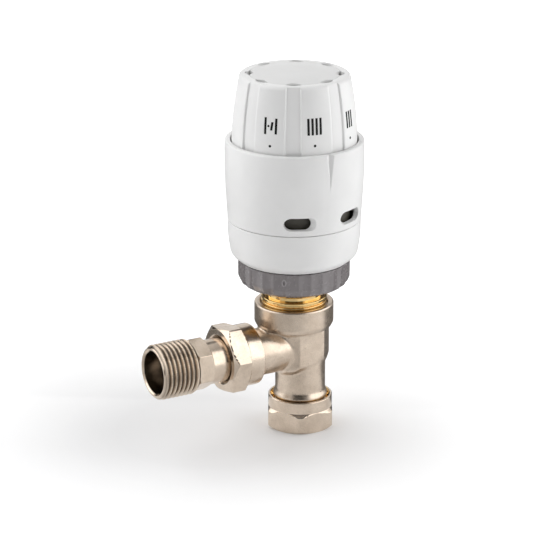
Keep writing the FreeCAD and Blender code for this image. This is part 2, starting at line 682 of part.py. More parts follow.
def bellows():
    """Thin corrugated tube, closed at its top."""
    wall = 0.35
    low, pitch, waves = 86.75, 2.6, 8
    outside = []
    inside = []
    for k in range(waves):
        base = low + k * pitch
        outside += [(9.6, base + 0.5), (9.6, base + 1.3), (7.2, base + 1.7), (7.2, base + 2.5)]
        inside += [
            (9.6 - wall, base + 0.5 + wall), (9.6 - wall, base + 1.3 - wall),
            (7.2 - wall, base + 1.7 - wall), (7.2 - wall, base + 2.5 + wall),
        ]
    top = low + waves * pitch + 0.6
    points = [
        (7.2 - wall, low), (7.2, low),
    ] + outside + [(7.2, top), (0, top), (0, top - wall), (7.2 - wall, top - wall)]
    return lathe(points + list(reversed(inside)))


def sensor_piston():
    return lathe([(0, 79.45), (3.2, 79.45), (3.2, 84.0), (4.2, 84.6), (4.2, 107.1, 0.8), (0, 107.1)])


def overload_spring():
    return coil_spring(6.9, 0.6, 79.5, 85.9, 3)


def spring_cup():
    return lathe([(9.9, 77.2), (10.5, 77.2, 0.2), (10.5, 85.9), (9.9, 85.9)]).fuse(
        lathe([(6.0, 77.2), (10.0, 77.2), (10.0, 77.9), (6.0, 77.9)])).removeSplitter()


def push_rod():
    return lathe([
        (0, STEM_TOP + FACE_GAP), (2.6, STEM_TOP + FACE_GAP, 0.3), (2.6, 78.0), (9.4, 78.0),
        (9.4, 79.4), (0, 79.4),
    ])


def capsule_clip():
    ring = cylinder(12.65, 85.0, 85.8).cut(cylinder(11.2, 84.5, 86.5))
    return ring.cut(Part.makeBox(6, 4, 3, Vector(HEAD_X + 9, -2, 84)))


NODES = (
    valve_body, compression_nut, olive, union_nut, tailpiece, union_gasket, valve_insert,
    insert_o_ring, gland_nut, gland_o_ring, valve_stem, stem_clip, spring_cap, return_spring,
    plug_holder, seat_washer, washer_screw, locking_ring, head_frame, limit_pins, lower_ring,
    outer_sleeve, setting_knob, knob_cap, thrust_washer, knob_clip, element_carrier,
    sensor_capsule, bellows, sensor_piston, overload_spring, spring_cup, push_rod, capsule_clip,
)

os.makedirs("parts", exist_ok=True)
for make in NODES:
    save(make.__name__, make())
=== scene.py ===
"""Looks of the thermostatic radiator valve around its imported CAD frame.

Blender works in metres. Shapes are written here in millimetres of the same frame and scaled once,
when their mesh is made. Places come from the boxes of the CAD nodes. Azimuths are measured about
the head's upright axis, from -Y towards +X.
"""
import json
import math

import bmesh
import bpy
import numpy as np
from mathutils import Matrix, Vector


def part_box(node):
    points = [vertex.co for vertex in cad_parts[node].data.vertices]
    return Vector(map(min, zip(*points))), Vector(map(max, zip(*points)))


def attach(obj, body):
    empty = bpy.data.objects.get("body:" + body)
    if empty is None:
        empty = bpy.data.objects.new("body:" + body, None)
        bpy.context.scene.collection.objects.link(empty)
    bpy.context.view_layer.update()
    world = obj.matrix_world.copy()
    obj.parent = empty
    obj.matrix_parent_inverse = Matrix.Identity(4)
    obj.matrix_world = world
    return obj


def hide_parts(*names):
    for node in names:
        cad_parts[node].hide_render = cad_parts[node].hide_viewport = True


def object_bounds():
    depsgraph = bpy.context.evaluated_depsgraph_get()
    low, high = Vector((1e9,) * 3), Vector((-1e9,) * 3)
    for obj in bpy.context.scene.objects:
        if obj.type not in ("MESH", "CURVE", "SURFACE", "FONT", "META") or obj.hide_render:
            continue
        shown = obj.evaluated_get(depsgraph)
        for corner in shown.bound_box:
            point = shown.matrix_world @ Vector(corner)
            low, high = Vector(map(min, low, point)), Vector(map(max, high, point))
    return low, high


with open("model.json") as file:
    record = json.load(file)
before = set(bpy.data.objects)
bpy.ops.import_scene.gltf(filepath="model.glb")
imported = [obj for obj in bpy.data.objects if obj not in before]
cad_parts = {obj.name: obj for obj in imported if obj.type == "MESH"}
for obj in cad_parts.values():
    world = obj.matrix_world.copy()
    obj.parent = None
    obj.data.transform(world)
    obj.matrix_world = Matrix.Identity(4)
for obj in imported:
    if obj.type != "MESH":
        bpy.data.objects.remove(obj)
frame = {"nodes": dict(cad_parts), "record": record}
CAD_BOX = [list(corner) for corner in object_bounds()]
MM = 0.001


def box_mm(node):
    low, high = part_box(node)
    return np.array(low) / MM, np.array(high) / MM


# --- places and sizes read from the frame (mm) ---
KNOB_LOW, KNOB_HIGH = box_mm("setting_knob")
CAP_LOW, CAP_HIGH = box_mm("knob_cap")
SLEEVE_LOW, SLEEVE_HIGH = box_mm("outer_sleeve")
LOWER_LOW, LOWER_HIGH = box_mm("lower_ring")
RING_LOW, RING_HIGH = box_mm("locking_ring")
INSERT_TOP = box_mm("valve_insert")[1][2]
NUT_TOP = box_mm("compression_nut")[1][2]
TAIL_LOW, TAIL_HIGH = box_mm("tailpiece")
UNION_LOW, UNION_HIGH = box_mm("union_nut")
BODY_LOW, BODY_HIGH = box_mm("valve_body")
HEAD_X = (CAP_LOW[0] + CAP_HIGH[0]) / 2
TAIL_Z = (TAIL_LOW[2] + TAIL_HIGH[2]) / 2
KNOB_TOP = KNOB_HIGH[2]
CAP_R = (CAP_HIGH[0] - CAP_LOW[0]) / 2
SLEEVE_TOP = SLEEVE_HIGH[2]
SEAM_Z = LOWER_HIGH[2] + 0.1
RING_TOP = RING_HIGH[2]
TAIL_END = TAIL_LOW[0]
THREAD_R = (TAIL_HIGH[1] - TAIL_LOW[1]) / 2
PITCH = 1.814
TAIL_THREAD_BACK = -49.1
TAIL_HEX = (-48.4, -42.2)
TAIL_FLATS, TAIL_CORNER = 17.5, math.radians(36)
INLET_NUT_FLATS, INLET_NUT_CORNER = 24.5, math.radians(-30)
UNION_NUT_FLATS, UNION_NUT_CORNER = 24.0, math.radians(8)

# --- camera ---
TARGET = Vector((-0.011174, 0.006451, 0.063545))
DISTANCE = 1.05
FRONT = -30              # azimuth of the camera, in degrees
CAMERA_ELEVATION = 19.08
LENS = 187.3


def toward(azimuth, elevation):
    """Unit vector from the object towards a viewer at this azimuth and elevation, in radians."""
    flat = math.cos(elevation)
    return Vector((math.sin(azimuth) * flat, -math.cos(azimuth) * flat, math.sin(elevation)))


def link(name, data):
    thing = bpy.data.objects.new(name, data)
    bpy.context.scene.collection.objects.link(thing)
    return thing


def aim(thing, azimuth, elevation, distance):
    """Puts it at this distance from the target, facing the target; angles in degrees."""
    back = toward(math.radians(azimuth), math.radians(elevation))
    thing.location = TARGET + back * distance
    thing.rotation_euler = back.to_track_quat("Z", "Y").to_euler()


def add_camera():
    data = bpy.data.cameras.new("camera")
    data.lens = LENS
    data.sensor_width = 36.0
    data.clip_start = 0.05
    data.clip_end = 20.0
    camera = link("camera", data)
    aim(camera, FRONT, CAMERA_ELEVATION, DISTANCE)
    bpy.context.scene.camera = camera


# --- materials ---
def start_material(name, metallic=0.0, **constants):
    """A node material with its shader and object coordinates; constants go on the shader's sockets."""
    material = bpy.data.materials.new(name)
    material.use_nodes = True
    shader = material.node_tree.nodes["Principled BSDF"]
    shader.inputs["Metallic"].default_value = metallic
    for socket, value in constants.items():
        shader.inputs[socket.replace("_", " ")].default_value = value
    place = material.node_tree.nodes.new("ShaderNodeTexCoord").outputs["Object"]
    return material, material.node_tree, shader, place


def noise(tree, place, scale, detail=3.0, roughness=0.5, stretch=None):
    """Noise at this scale per metre; stretch multiplies the coordinates first."""
    if stretch:
        mapping = tree.nodes.new("ShaderNodeMapping")
        mapping.inputs["Scale"].default_value = stretch
        tree.links.new(place, mapping.inputs["Vector"])
        place = mapping.outputs["Vector"]
    node = tree.nodes.new("ShaderNodeTexNoise")
    node.inputs["Scale"].default_value = scale
    node.inputs["Detail"].default_value = detail
    node.inputs["Roughness"].default_value = roughness
    tree.links.new(place, node.inputs["Vector"])
    return node.outputs["Fac"]


def ramp(tree, factor, *stops):
    node = tree.nodes.new("ShaderNodeValToRGB")
    elements = node.color_ramp.elements
    while len(elements) < len(stops):
        elements.new(0.5)
    for element, (position, colour) in zip(elements, stops):
        element.position = position
        element.color = (*colour, 1.0)
    tree.links.new(factor, node.inputs["Fac"])
    return node.outputs["Color"]


def map_range(tree, value, low, high, at_low, at_high):
    node = tree.nodes.new("ShaderNodeMapRange")
    for socket, number in (("From Min", low), ("From Max", high), ("To Min", at_low), ("To Max", at_high)):
        node.inputs[socket].default_value = number
    tree.links.new(value, node.inputs["Value"])
    return node.outputs["Result"]


def spread(tree, factor, low, high):
    """Maps a noise value's usual range, 0.3 to 0.7, to low..high."""
    return map_range(tree, factor, 0.3, 0.7, low, high)


def multiply(tree, colour, factor_colour):
    node = tree.nodes.new("ShaderNodeMix")
    node.data_type = "RGBA"
    node.blend_type = "MULTIPLY"
    node.inputs["Factor"].default_value = 1.0
    tree.links.new(colour, node.inputs["A"])
    tree.links.new(factor_colour, node.inputs["B"])
    return node.outputs["Result"]


def bump(tree, shader, *layers):
    """Stacks bump layers (height, depth in mm) on the shader's normal."""
    normal = None
    for height, depth in layers:
        node = tree.nodes.new("ShaderNodeBump")
        node.inputs["Strength"].default_value = 1.0
        node.inputs["Distance"].default_value = depth * MM
        tree.links.new(height, node.inputs["Height"])
        if normal:
            tree.links.new(normal, node.inputs["Normal"])
        normal = node.outputs["Normal"]
    tree.links.new(normal, shader.inputs["Normal"])


def metal(name, dark, light, rough, grain=0.0, lines=None, line_depth=0.0015, shade_in_hollows=None):
    """Metal with blotchy tone, cast or tumbled grain, along one axis turning lines and, where given, painted
    shade in its hollows.
    """
    material, tree, shader, place = start_material(name, metallic=1.0)
    tone = ramp(tree, noise(tree, place, 160.0, 5.0, 0.6), (0.32, dark), (0.68, light))
    specks = noise(tree, place, 2600.0, 2.0, 0.7)
    specks = ramp(tree, specks, (0.3, (0.86, 0.86, 0.86)), (0.55, (1.0, 1.0, 1.0)))
    tone = multiply(tree, tone, specks)
    # painted shade: the tone is darkened where the given function marks the hollows
    if shade_in_hollows:
        tone = multiply(tree, tone, shade_in_hollows(tree, place))
    tree.links.new(tone, shader.inputs["Base Color"])
    fine = noise(tree, place, 1400.0, 4.0, 0.65)
    tree.links.new(spread(tree, fine, *rough), shader.inputs["Roughness"])
    layers = [(noise(tree, place, 1500.0, 3.0, 0.65), grain), (noise(tree, place, 340.0, 2.0), grain * 1.8)]
    if lines:
        layers.append((noise(tree, place, 1.0, 2.0, 0.7, stretch=lines), line_depth))
    bump(tree, shader, *layers)
    return material


def calculate(tree, operation, a, b):
    node = tree.nodes.new("ShaderNodeMath")
    node.operation = operation
    tree.links.new(a, node.inputs[0])
    tree.links.new(b, node.inputs[1])
    return node.outputs["Value"]


def shifted_length(tree, place, location, scale=(1.0, 1.0, 1.0)):
    """Length of the coordinates, scaled and shifted."""
    mapping = tree.nodes.new("ShaderNodeMapping")
    mapping.inputs["Location"].default_value = location
    mapping.inputs["Scale"].default_value = scale
    tree.links.new(place, mapping.inputs["Vector"])
    length = tree.nodes.new("ShaderNodeVectorMath")
    length.operation = "LENGTH"
    tree.links.new(mapping.outputs["Vector"], length.inputs[0])
    return length.outputs["Value"]


def tail_hollow_shade(tree, place):
    """Painted shade: darkens the tail's bore and the bottoms of its thread, where the hollows lie in shade.
    """
    radius = shifted_length(tree, place, (0.0, 0.0, -TAIL_Z * MM), (0.0, 1.0, 1.0))
    split = tree.nodes.new("ShaderNodeSeparateXYZ")
    tree.links.new(place, split.inputs["Vector"])
    along = split.outputs["X"]
    # painted shade in the thread bottoms and, below, in the bore; the end rim is kept bright
    thread = map_range(tree, radius, 9.5 * MM, 10.25 * MM, 0.3, 1.0)
    beyond_thread = map_range(tree, along, (TAIL_THREAD_BACK + 0.5) * MM, TAIL_HEX[0] * MM, 0.0, 1.0)
    rim = map_range(tree, along, (TAIL_END + 0.3) * MM, (TAIL_END + 0.9) * MM, 1.0, 0.0)
    bore = map_range(tree, radius, 8.2 * MM, 8.4 * MM, 0.5, 1.0)
    inside = map_range(tree, radius, 8.3 * MM, 8.5 * MM, 1.0, 0.0)
    outside = calculate(tree, "MAXIMUM", calculate(tree, "MAXIMUM", thread, beyond_thread), inside)
    return calculate(tree, "MAXIMUM", calculate(tree, "MINIMUM", outside, bore), rim)


def plastic(name, dark, light, rough, texture=0.0015, **constants):
    """Moulded plastic: nearly even colour, faint flow marks and a fine spark-eroded texture."""
    material, tree, shader, place = start_material(name, **constants)
    tone = ramp(tree, noise(tree, place, 55.0, 3.0, 0.55), (0.35, dark), (0.65, light))
    tree.links.new(tone, shader.inputs["Base Color"])
    tree.links.new(spread(tree, noise(tree, place, 700.0, 3.0), *rough), shader.inputs["Roughness"])
    fine, coarse = noise(tree, place, 3200.0, 2.0, 0.6), noise(tree, place, 120.0, 1.0)
    bump(tree, shader, (fine, texture), (coarse, texture * 4))
    return material


NICKEL_DARK, NICKEL_LIGHT = (0.60, 0.495, 0.395), (0.76, 0.645, 0.53)
LINES_Z = (60.0, 60.0, 5200.0)
LINES_X = (5200.0, 60.0, 60.0)


def turned_nickel(name, lines, shade_in_hollows=None):
    return metal(name, NICKEL_DARK, NICKEL_LIGHT, (0.17, 0.27), grain=0.002, lines=lines, shade_in_hollows=shade_in_hollows)


NICKEL_CAST = metal("nickel_cast", NICKEL_DARK, NICKEL_LIGHT, (0.25, 0.38), grain=0.010)
NICKEL_TURNED_Z = turned_nickel("nickel_turned_z", LINES_Z)
NICKEL_TURNED_X = turned_nickel("nickel_turned_x", LINES_X)
# nickel with painted shade in the thread bottoms and the bore
NICKEL_TAIL = turned_nickel("nickel_tail", LINES_X, shade_in_hollows=tail_hollow_shade)
BRIGHT_BRASS = metal("bright_brass", (0.78, 0.52, 0.20), (0.92, 0.68, 0.33), (0.05, 0.12), lines=LINES_Z,
                     line_depth=0.0006)
PLAIN_BRASS = metal("plain_brass", (0.62, 0.42, 0.17), (0.76, 0.54, 0.25), (0.22, 0.34), grain=0.002,
                    lines=LINES_Z)
STEEL = metal("steel", (0.52, 0.52, 0.53), (0.66, 0.66, 0.67), (0.2, 0.32), grain=0.001, lines=LINES_Z)
WHITE = plastic("white_plastic", (0.82, 0.82, 0.815), (0.86, 0.86, 0.855), (0.34, 0.44),
                Coat_Weight=0.12, Coat_Roughness=0.25)
# painted shade: a darker copy of the white plastic, so that the cap's upward-facing top reads darker than the
# rest of the knob
WHITE_CAP_SHADED = plastic("white_plastic_cap_shaded", (0.735, 0.735, 0.73), (0.765, 0.765, 0.76), (0.36, 0.46),
                    Coat_Weight=0.1, Coat_Roughness=0.25)
GREY = plastic("grey_plastic", (0.165, 0.148, 0.152), (0.205, 0.187, 0.19), (0.2, 0.3), texture=0.0012,
               Coat_Weight=0.8, Coat_Roughness=0.12)
GREY_RAISED = plastic("grey_plastic_raised", (0.30, 0.28, 0.285), (0.36, 0.34, 0.345), (0.2, 0.3),
                      texture=0.001)
DARK = plastic("dark_plastic", (0.055, 0.05, 0.038), (0.075, 0.07, 0.055), (0.45, 0.6), texture=0.003)
NATURAL = plastic("natural_plastic", (0.68, 0.66, 0.6), (0.76, 0.74, 0.68), (0.36, 0.48))
RUBBER = plastic("rubber", (0.012, 0.012, 0.012), (0.022, 0.021, 0.02), (0.5, 0.7), texture=0.004)
INK = plastic("printed_black", (0.008, 0.008, 0.008), (0.014, 0.014, 0.014), (0.5, 0.65), texture=0.0005,
              Specular_IOR_Level=0.15)
SLOT_MATERIAL = {
    "nickel": NICKEL_CAST, "bright_brass": BRIGHT_BRASS, "plain_brass": PLAIN_BRASS, "steel": STEEL,
    "rubber": RUBBER, "white_plastic": WHITE, "grey_plastic": GREY, "dark_plastic": DARK,
    "natural_plastic": NATURAL,
}


def dress_cad_nodes():
    for entry in frame["record"]["subparts"]:
        node = frame["nodes"][entry["node"]]
        node.data.materials.clear()
        node.data.materials.append(SLOT_MATERIAL[entry["material_slot"]])


# --- mesh helpers ---
def add_piece(name, points, faces, body, material, replaces=(), sharp=40.0):
    """A mesh object from points in mm, riding on a body."""
    mesh = bpy.data.meshes.new(name)
    mesh.from_pydata((np.asarray(points) * MM).tolist(), [], faces)
    mesh.validate()
    mesh.shade_smooth()
    mesh.set_sharp_from_angle(angle=math.radians(sharp))
    mesh.materials.append(material)
    piece = link(name, mesh)
    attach(piece, body)
    if replaces:
        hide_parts(*replaces)
    return piece


def outward(points, faces):
    """Faces turned so that their normals point out of the closed mesh."""
    volume = 0.0
    for size in (3, 4):
        group = np.array([face for face in faces if len(face) == size])
        if len(group):
            for k in range(1, size - 1):
                a, b, c = points[group[:, 0]], points[group[:, k]], points[group[:, k + 1]]
                volume += np.einsum("ij,ij->i", a, np.cross(b, c)).sum()
    return faces if volume > 0 else [tuple(reversed(face)) for face in faces]


def corner_arc(before, corner, after, radius):
    """Points of the arc that rounds one corner of an outline."""
    back, ahead = before - corner, after - corner
    length_back, length_ahead = np.linalg.norm(back), np.linalg.norm(ahead)
    back, ahead = back / length_back, ahead / length_ahead
    half = math.acos(max(-1.0, min(1.0, float(back @ ahead)))) / 2
    turn = math.pi - 2 * half
    if turn < math.radians(0.5):
        return [corner]
    reach = min(radius / math.tan(half), 0.45 * min(length_back, length_ahead))
    radius = reach * math.tan(half)
    middle = (back + ahead) / np.linalg.norm(back + ahead)
    centre = corner + middle * radius / math.sin(half)
    start, end = corner + back * reach - centre, corner + ahead * reach - centre
    count = max(2, math.ceil(turn / math.radians(13)))
    points = []
    for k in range(count + 1):
        t = k / count
        weight_a, weight_b = math.sin((1 - t) * turn), math.sin(t * turn)
        points.append(centre + (start * weight_a + end * weight_b) / math.sin(turn))
    return points


def rounded(corners, soft=0.15, step=1.5, support=0.12):
    """Closed outline (n, 2) through (a, b) or (a, b, radius) corners, with rounded corners and
    straights divided so that flat faces keep flat shading."""
    spots = [np.array(c[:2], float) for c in corners]
    arcs = []
    for i, corner in enumerate(corners):
        if abs(corner[0]) < 1e-9:
            arcs.append([spots[i]])
            continue
        radius = corner[2] if len(corner) == 3 else soft
        arcs.append(corner_arc(spots[i - 1], spots[i], spots[(i + 1) % len(spots)], radius))
    path = []
    for i, arc in enumerate(arcs):
        path += arc
        start, end = arc[-1], arcs[(i + 1) % len(arcs)][0]
        if abs(start[0]) < 1e-9 and abs(end[0]) < 1e-9:
            continue
        length = np.linalg.norm(end - start)
        if length > 3 * support:
            stops = [support / length, 1 - support / length]
            inner = max(1, math.ceil((length - 2 * support) / step))
            stops = [stops[0] + (stops[1] - stops[0]) * k / inner for k in range(inner + 1)]
            path += [start + (end - start) * t for t in stops]
    return np.array(path)


def upright(r, h, a, axis_x=None):
    axis_x = HEAD_X if axis_x is None else axis_x
    return np.stack([axis_x + r * np.sin(a), -r * np.cos(a), h], axis=-1)


def on_pipe_axis(r, h, a):
    return upright(r, h, a, axis_x=0.0)


def sideways(r, h, a):
    return np.stack([h, -r * np.cos(a), TAIL_Z + r * np.sin(a)], axis=-1)


def grid_faces(index, wrap_rows=True, wrap_columns=True, skip=None):
    """Quads of an index grid (columns, rows). Repeated indices give triangles."""
    a = index
    b = np.roll(index, -1, axis=0)
    c = np.roll(b, -1, axis=1)
    d = np.roll(index, -1, axis=1)
    quads = np.stack([a, b, c, d], axis=-1)
    keep = np.ones(index.shape, bool)
    if not wrap_rows:
        keep[:, -1] = False
    if not wrap_columns:
        keep[-1, :] = False
    if skip is not None:
        keep &= ~skip
    quads = quads[keep]
    faces = []
    for quad in quads.tolist():
        face = [v for k, v in enumerate(quad) if v != quad[k - 1]]
        if len(face) >= 3:
            faces.append(tuple(face))
    return faces


def spun(outline, angles, place=upright, warp=None):
    """Closed mesh of an (r, along) outline turned about an axis; warp(r, h, a) may reshape it."""
    r, a = np.meshgrid(outline[:, 0], angles)
    h = np.broadcast_to(outline[:, 1], r.shape)
    index = np.arange(r.size).reshape(r.shape)
    poles = [k for k in (0, len(outline) - 1) if abs(outline[k, 0]) < 1e-9]
    for k in poles:
        index[:, k] = index[0, k]
    r, h = warp(r.copy(), h.copy(), a) if warp else (r, h)
    points = place(r, h, a).reshape(-1, 3)
    faces = grid_faces(index, wrap_rows=not poles)
    return points, outward(points, faces)


def turn_angles(count):
    return np.arange(count) * 2 * math.pi / count


def soft_min(a, b, k):
    h = np.maximum(k - np.abs(a - b), 0.0) / k
    return np.minimum(a, b) - h * h * k * 0.25


def soft_max(a, b, k):
    return -soft_min(-a, -b, k)


def hex_radius(a, across_flats, corner):
    """Radius of a hexagon at angle a, with a corner at this angle (radians)."""
    phi = np.mod(a - corner, math.pi / 3) - math.pi / 6
    return across_flats / 2 / np.cos(phi)


def thread_depth(along, a, handed=1.0, depth=1.12, pitch=PITCH):
    """Depth below the crest of a right-handed 55-degree helical thread."""
    t = np.mod(along / pitch - handed * a / (2 * math.pi), 1.0)
    away = np.abs(t - 0.5) * pitch
    flank = (away - 0.13) / math.tan(math.radians(27.5))
    return soft_max(soft_min(flank, depth, 0.25), 0.0, 0.1)


def add_turned(name, outline, angles, body, material, replaces=(), place=upright, warp=None,
               sharp=40.0):
    """A piece spun from an outline."""
    points, faces = spun(outline, angles, place=place, warp=warp)
    add_piece(name, points, faces, body, material, replaces, sharp=sharp)


# --- knob ---
GROOVES = 8
GROOVE_AZIMUTH = math.radians(-31.9)
GROOVE_HALF = math.radians(7.3)
GROOVE_DEPTH = 0.7
VENT_HALF = math.radians(11.0)


def knob_side(z):
    """Outside radius of the knob at a height."""
    return 23.66 - 0.02 * (z - 112.0) - 1.93 * np.maximum(0.0, (z - 116.0) / 21.0) ** 1.86


def knob_columns():
    """Angles over the whole knob with their groove and vent shares: columns crowd at the walls."""
    pitch = 2 * math.pi / GROOVES
    wall = [(-0.026, 0.0), (-0.020, 0.02), (-0.015, 0.07), (-0.010, 0.17), (-0.005, 0.33), (0.0, 0.54),
            (0.005, 0.76), (0.009, 0.91), (0.013, 0.98), (0.017, 1.0)]
    cell = [(t, 1.0) for t in np.linspace(-0.104, 0.104, 17)]
    for offset, share in wall:
        cell += [(GROOVE_HALF - offset, share), (-GROOVE_HALF + offset, share)]
    for t in np.linspace(GROOVE_HALF + 0.034, pitch / 2, 24)[:-1]:
        cell += [(t, 0.0), (-t, 0.0)]
    cell.append((pitch / 2, 0.0))
    cell.sort()
    columns = []
    for k in range(GROOVES):
        for t, groove in cell:
            vent = max(0.0, 1.0 - (t / VENT_HALF) ** 2)
            columns.append((GROOVE_AZIMUTH + k * pitch + t, groove, vent))
    return np.array(columns)


def add_knob():
    heights = (115.0, 118.0, 121.0, 124.0, 127.0, 130.0, 133.0, 136.0)
    side = [(knob_side(z), z, 40) for z in heights]
    inner = [(knob_side(z) - 1.9, z) for z in (130.0, 124.0, 118.0)]
    outline = rounded([
        (21.6, KNOB_LOW[2]), (23.2, KNOB_LOW[2], 0.3), (23.3, 110.5), (23.6, 112.5)] + side + [
        (20.7, KNOB_TOP, 1.8), (CAP_R + 0.1, KNOB_TOP, 0.08), (CAP_R + 0.1, 138.0, 0.05), (3.0, 138.0),
        (3.0, 136.2), (16.35, 136.2), (16.35, 102.6), (17.4, 102.6), (17.4, 135.6), (19.0, 136.6)] + inner + [
        (21.6, 112.0), (21.6, 102.8), (22.1, 102.7), (22.1, 101.5), (21.6, 101.4),
    ], step=1.0)
    columns = knob_columns()
    groove, vent = columns[:, 1:2], columns[:, 2:3]

    def warp(r, h, a):
        outside = (r > knob_side(h) - 1.6) | ((h > 136.9) & (r > 18.0))
        floor = knob_side(h) - GROOVE_DEPTH * groove
        low_edge = np.clip((h - 111.0) / 1.0, 0.0, 1.0)
        floor = floor * low_edge + 30.0 * (1 - low_edge)
        r = np.where(outside & (groove > 0), soft_min(r, floor, 0.12), r)
        rim = (np.abs(r - CAP_R - 0.1) < 0.3) & (h > 137.5)
        deep = rim & (h < 138.3)
        r = np.where(rim, r + 1.1 * vent, r)
        h = np.where(deep, h - 1.5 * np.minimum(1.0, 3.0 * vent), h)
        return r, h

    add_turned("knob_shell", outline, columns[:, 0], "knob", WHITE,
               ["setting_knob"], warp=warp, sharp=50)


def add_knob_cap():
    outline = rounded([
        (0, 138.05), (16.6, 138.05), (CAP_R, 138.4), (CAP_R, KNOB_TOP, 0.15), (9.0, CAP_HIGH[2] - 0.2, 60),
        (0, CAP_HIGH[2]),
    ], step=0.8)
    columns = knob_columns()
    vent = columns[:, 2:3]

    def warp(r, h, a):
        return np.where(r > 16.0, r - 1.5 * vent * (r - 15.0) / (CAP_R - 15.0), r), h

    # the cap takes the darker copy of the white plastic, which carries painted shade
    add_turned("knob_cap_disc", outline, columns[:, 0], "knob", WHITE_CAP_SHADED,
               ["knob_cap"], warp=warp, sharp=50)


DOT_Z, DOT_R = 118.2, 0.5
MARK_LOW, MARK_HIGH = 122.2, 128.4
MARK_MIDDLE = 125.3
BAR_PITCH = 1.55
MAX_AZIMUTH, FROST_AZIMUTH, CLOSED_AZIMUTH = -53.0, 170.6, -144.4


def printed_mark(name, outline, azimuth):
    """A thin printed shape on the knob. The outline's points are (mm along the surface, height), first up
    one side and then down the other, and rungs between the sides keep the shape on the curve."""
    azimuth = math.radians(azimuth)
    outline = np.array(outline)
    points = []
    for lift in (-0.05, 0.035):
        r = knob_side(outline[:, 1]) + lift
        points.append(upright(r, outline[:, 1], azimuth + outline[:, 0] / r))
    count = len(outline)
    points = np.concatenate(points)
    rungs = [(k, k + 1, count - 2 - k, count - 1 - k) for k in range(count // 2 - 1)]
    faces = rungs + [tuple(v + count for v in reversed(rung)) for rung in rungs]
    faces += [(k, k + count, (k + 1) % count + count, (k + 1) % count) for k in range(count)]
    faces = [tuple(reversed(face)) for face in faces]
    return add_piece(name, points, faces, "knob", INK)


def bar(u, low, high, width=0.88, lean=0.0):
    """Outline of an upright bar, cut into short steps to follow the knob's curve."""
    heights = np.linspace(low, high, 6)
    right = [(u + width / 2 + lean * t, z) for t, z in zip(np.linspace(0, 1, 6), heights)]
    left = [(u - width / 2 + lean * t, z) for t, z in zip(np.linspace(0, 1, 6), heights)]
    return right + left[::-1]


def disc(u, z, radius):
    return [(u + radius * math.cos(t), z + radius * math.sin(t)) for t in turn_angles(20)]


def add_marks():
    for name, azimuth, count in (("four", -12.0, 4), ("three", 30.0, 3), ("two", 77.0, 2), ("one", 124.0, 1)):
        for k in range(count):
            outline = bar((k - (count - 1) / 2) * BAR_PITCH, MARK_LOW, MARK_HIGH)
            printed_mark("mark_%s_bar_%d" % (name, k), outline, azimuth)
        printed_mark("mark_%s_dot" % name, disc(0.0, DOT_Z, DOT_R), azimuth)
    printed_mark("mark_max_left", bar(-2.05, MARK_LOW, MARK_HIGH), MAX_AZIMUTH)
    printed_mark("mark_max_right", bar(2.15, MARK_LOW + 0.3, MARK_HIGH - 0.1), MAX_AZIMUTH)
    printed_mark("mark_max_short", bar(0.3, 123.8, 126.9, width=0.85, lean=0.4), MAX_AZIMUTH)
    printed_mark("mark_max_centre", disc(-0.8, MARK_MIDDLE, 0.42), MAX_AZIMUTH)
    printed_mark("mark_max_dot", disc(0.0, 117.9, DOT_R), MAX_AZIMUTH)
    half_width, half_length, steps = 0.28, 2.6, 12
    for k in range(3):
        tilt = math.radians(30 + 60 * k)
        along = np.array([math.cos(tilt), math.sin(tilt)])
        across = np.array([-math.sin(tilt), math.cos(tilt)])
        right = [along * t - across * half_width for t in np.linspace(-half_length, half_length, steps)]
        left = [along * t + across * half_width for t in np.linspace(half_length, -half_length, steps)]
        outline = [(u, MARK_MIDDLE + z) for u, z in right + left]
        printed_mark("mark_frost_arm_%d" % k, outline, FROST_AZIMUTH)
    printed_mark("mark_frost_dot", disc(0.0, DOT_Z, DOT_R), FROST_AZIMUTH)
    printed_mark("mark_closed_dot", disc(0.0, DOT_Z, DOT_R), CLOSED_AZIMUTH)
    printed_mark("mark_closed_disc", disc(0.0, MARK_MIDDLE, 1.1), CLOSED_AZIMUTH)


# --- outer sleeve ---
WINDOW_X = 10.65
WINDOW_Z = 88.75
PATCH_LOW, PATCH_HIGH = 85.2, 92.3
PATCH_NEAR, PATCH_FAR = math.radians(7.0), math.radians(44.5)
NOTCH_LOW = 100.5
NOTCH_HALF = 1.6
NOTCH_DEPTH = 1.5
NOTCH_REACH = 0.105


def sleeve_corners():
    return [
        (25.1, SEAM_Z + 0.1, 0.25), (25.35, 88.6, 60), (25.75, 95.0, 60), (26.15, 104.0, 60),
        (26.1, SLEEVE_TOP, 1.8), (24.05, SLEEVE_TOP, 0.2), (24.05, 111.5), (23.75, 101.0), (23.75, 97.9),
        (22.8, 97.9), (22.8, 96.9), (23.65, 96.0), (23.05, SLEEVE_LOW[2]), (23.85, SLEEVE_LOW[2]),
        (23.85, SEAM_Z + 0.1),
    ]


def sleeve_rows():
    """Outline of the sleeve, with the same levels outside and inside across the window patches."""
    outline = rounded(sleeve_corners(), step=1.2)
    levels = np.linspace(PATCH_LOW, PATCH_HIGH, 8)
    top = int(np.argmax(outline[:, 1]))
    outer, inner = outline[:top + 1], outline[top + 1:]
    wall = inner[(inner[:, 0] < 23.7) & (inner[:, 1] < 96.5) & (inner[:, 1] > SLEEVE_LOW[2] + 0.5)]
    wall = wall[np.argsort(wall[:, 1])]
    outer_patch = np.column_stack([np.interp(levels, outer[:, 1], outer[:, 0]), levels])
    wall_patch = np.column_stack([np.interp(levels, wall[:, 1], wall[:, 0]), levels])

    def beyond(part):
        return part[part[:, 1] > PATCH_HIGH + 0.2]

    outer_low = outer[outer[:, 1] < PATCH_LOW - 0.2]
    turn = int(np.argmin(inner[:, 1]))
    inner_down, inner_up = inner[:turn + 1], inner[turn + 1:]
    rows = [outer_low, outer_patch, beyond(outer), beyond(inner_down), wall_patch[::-1],
            inner_down[inner_down[:, 1] < PATCH_LOW - 0.2], inner_up]
    return np.concatenate(rows)


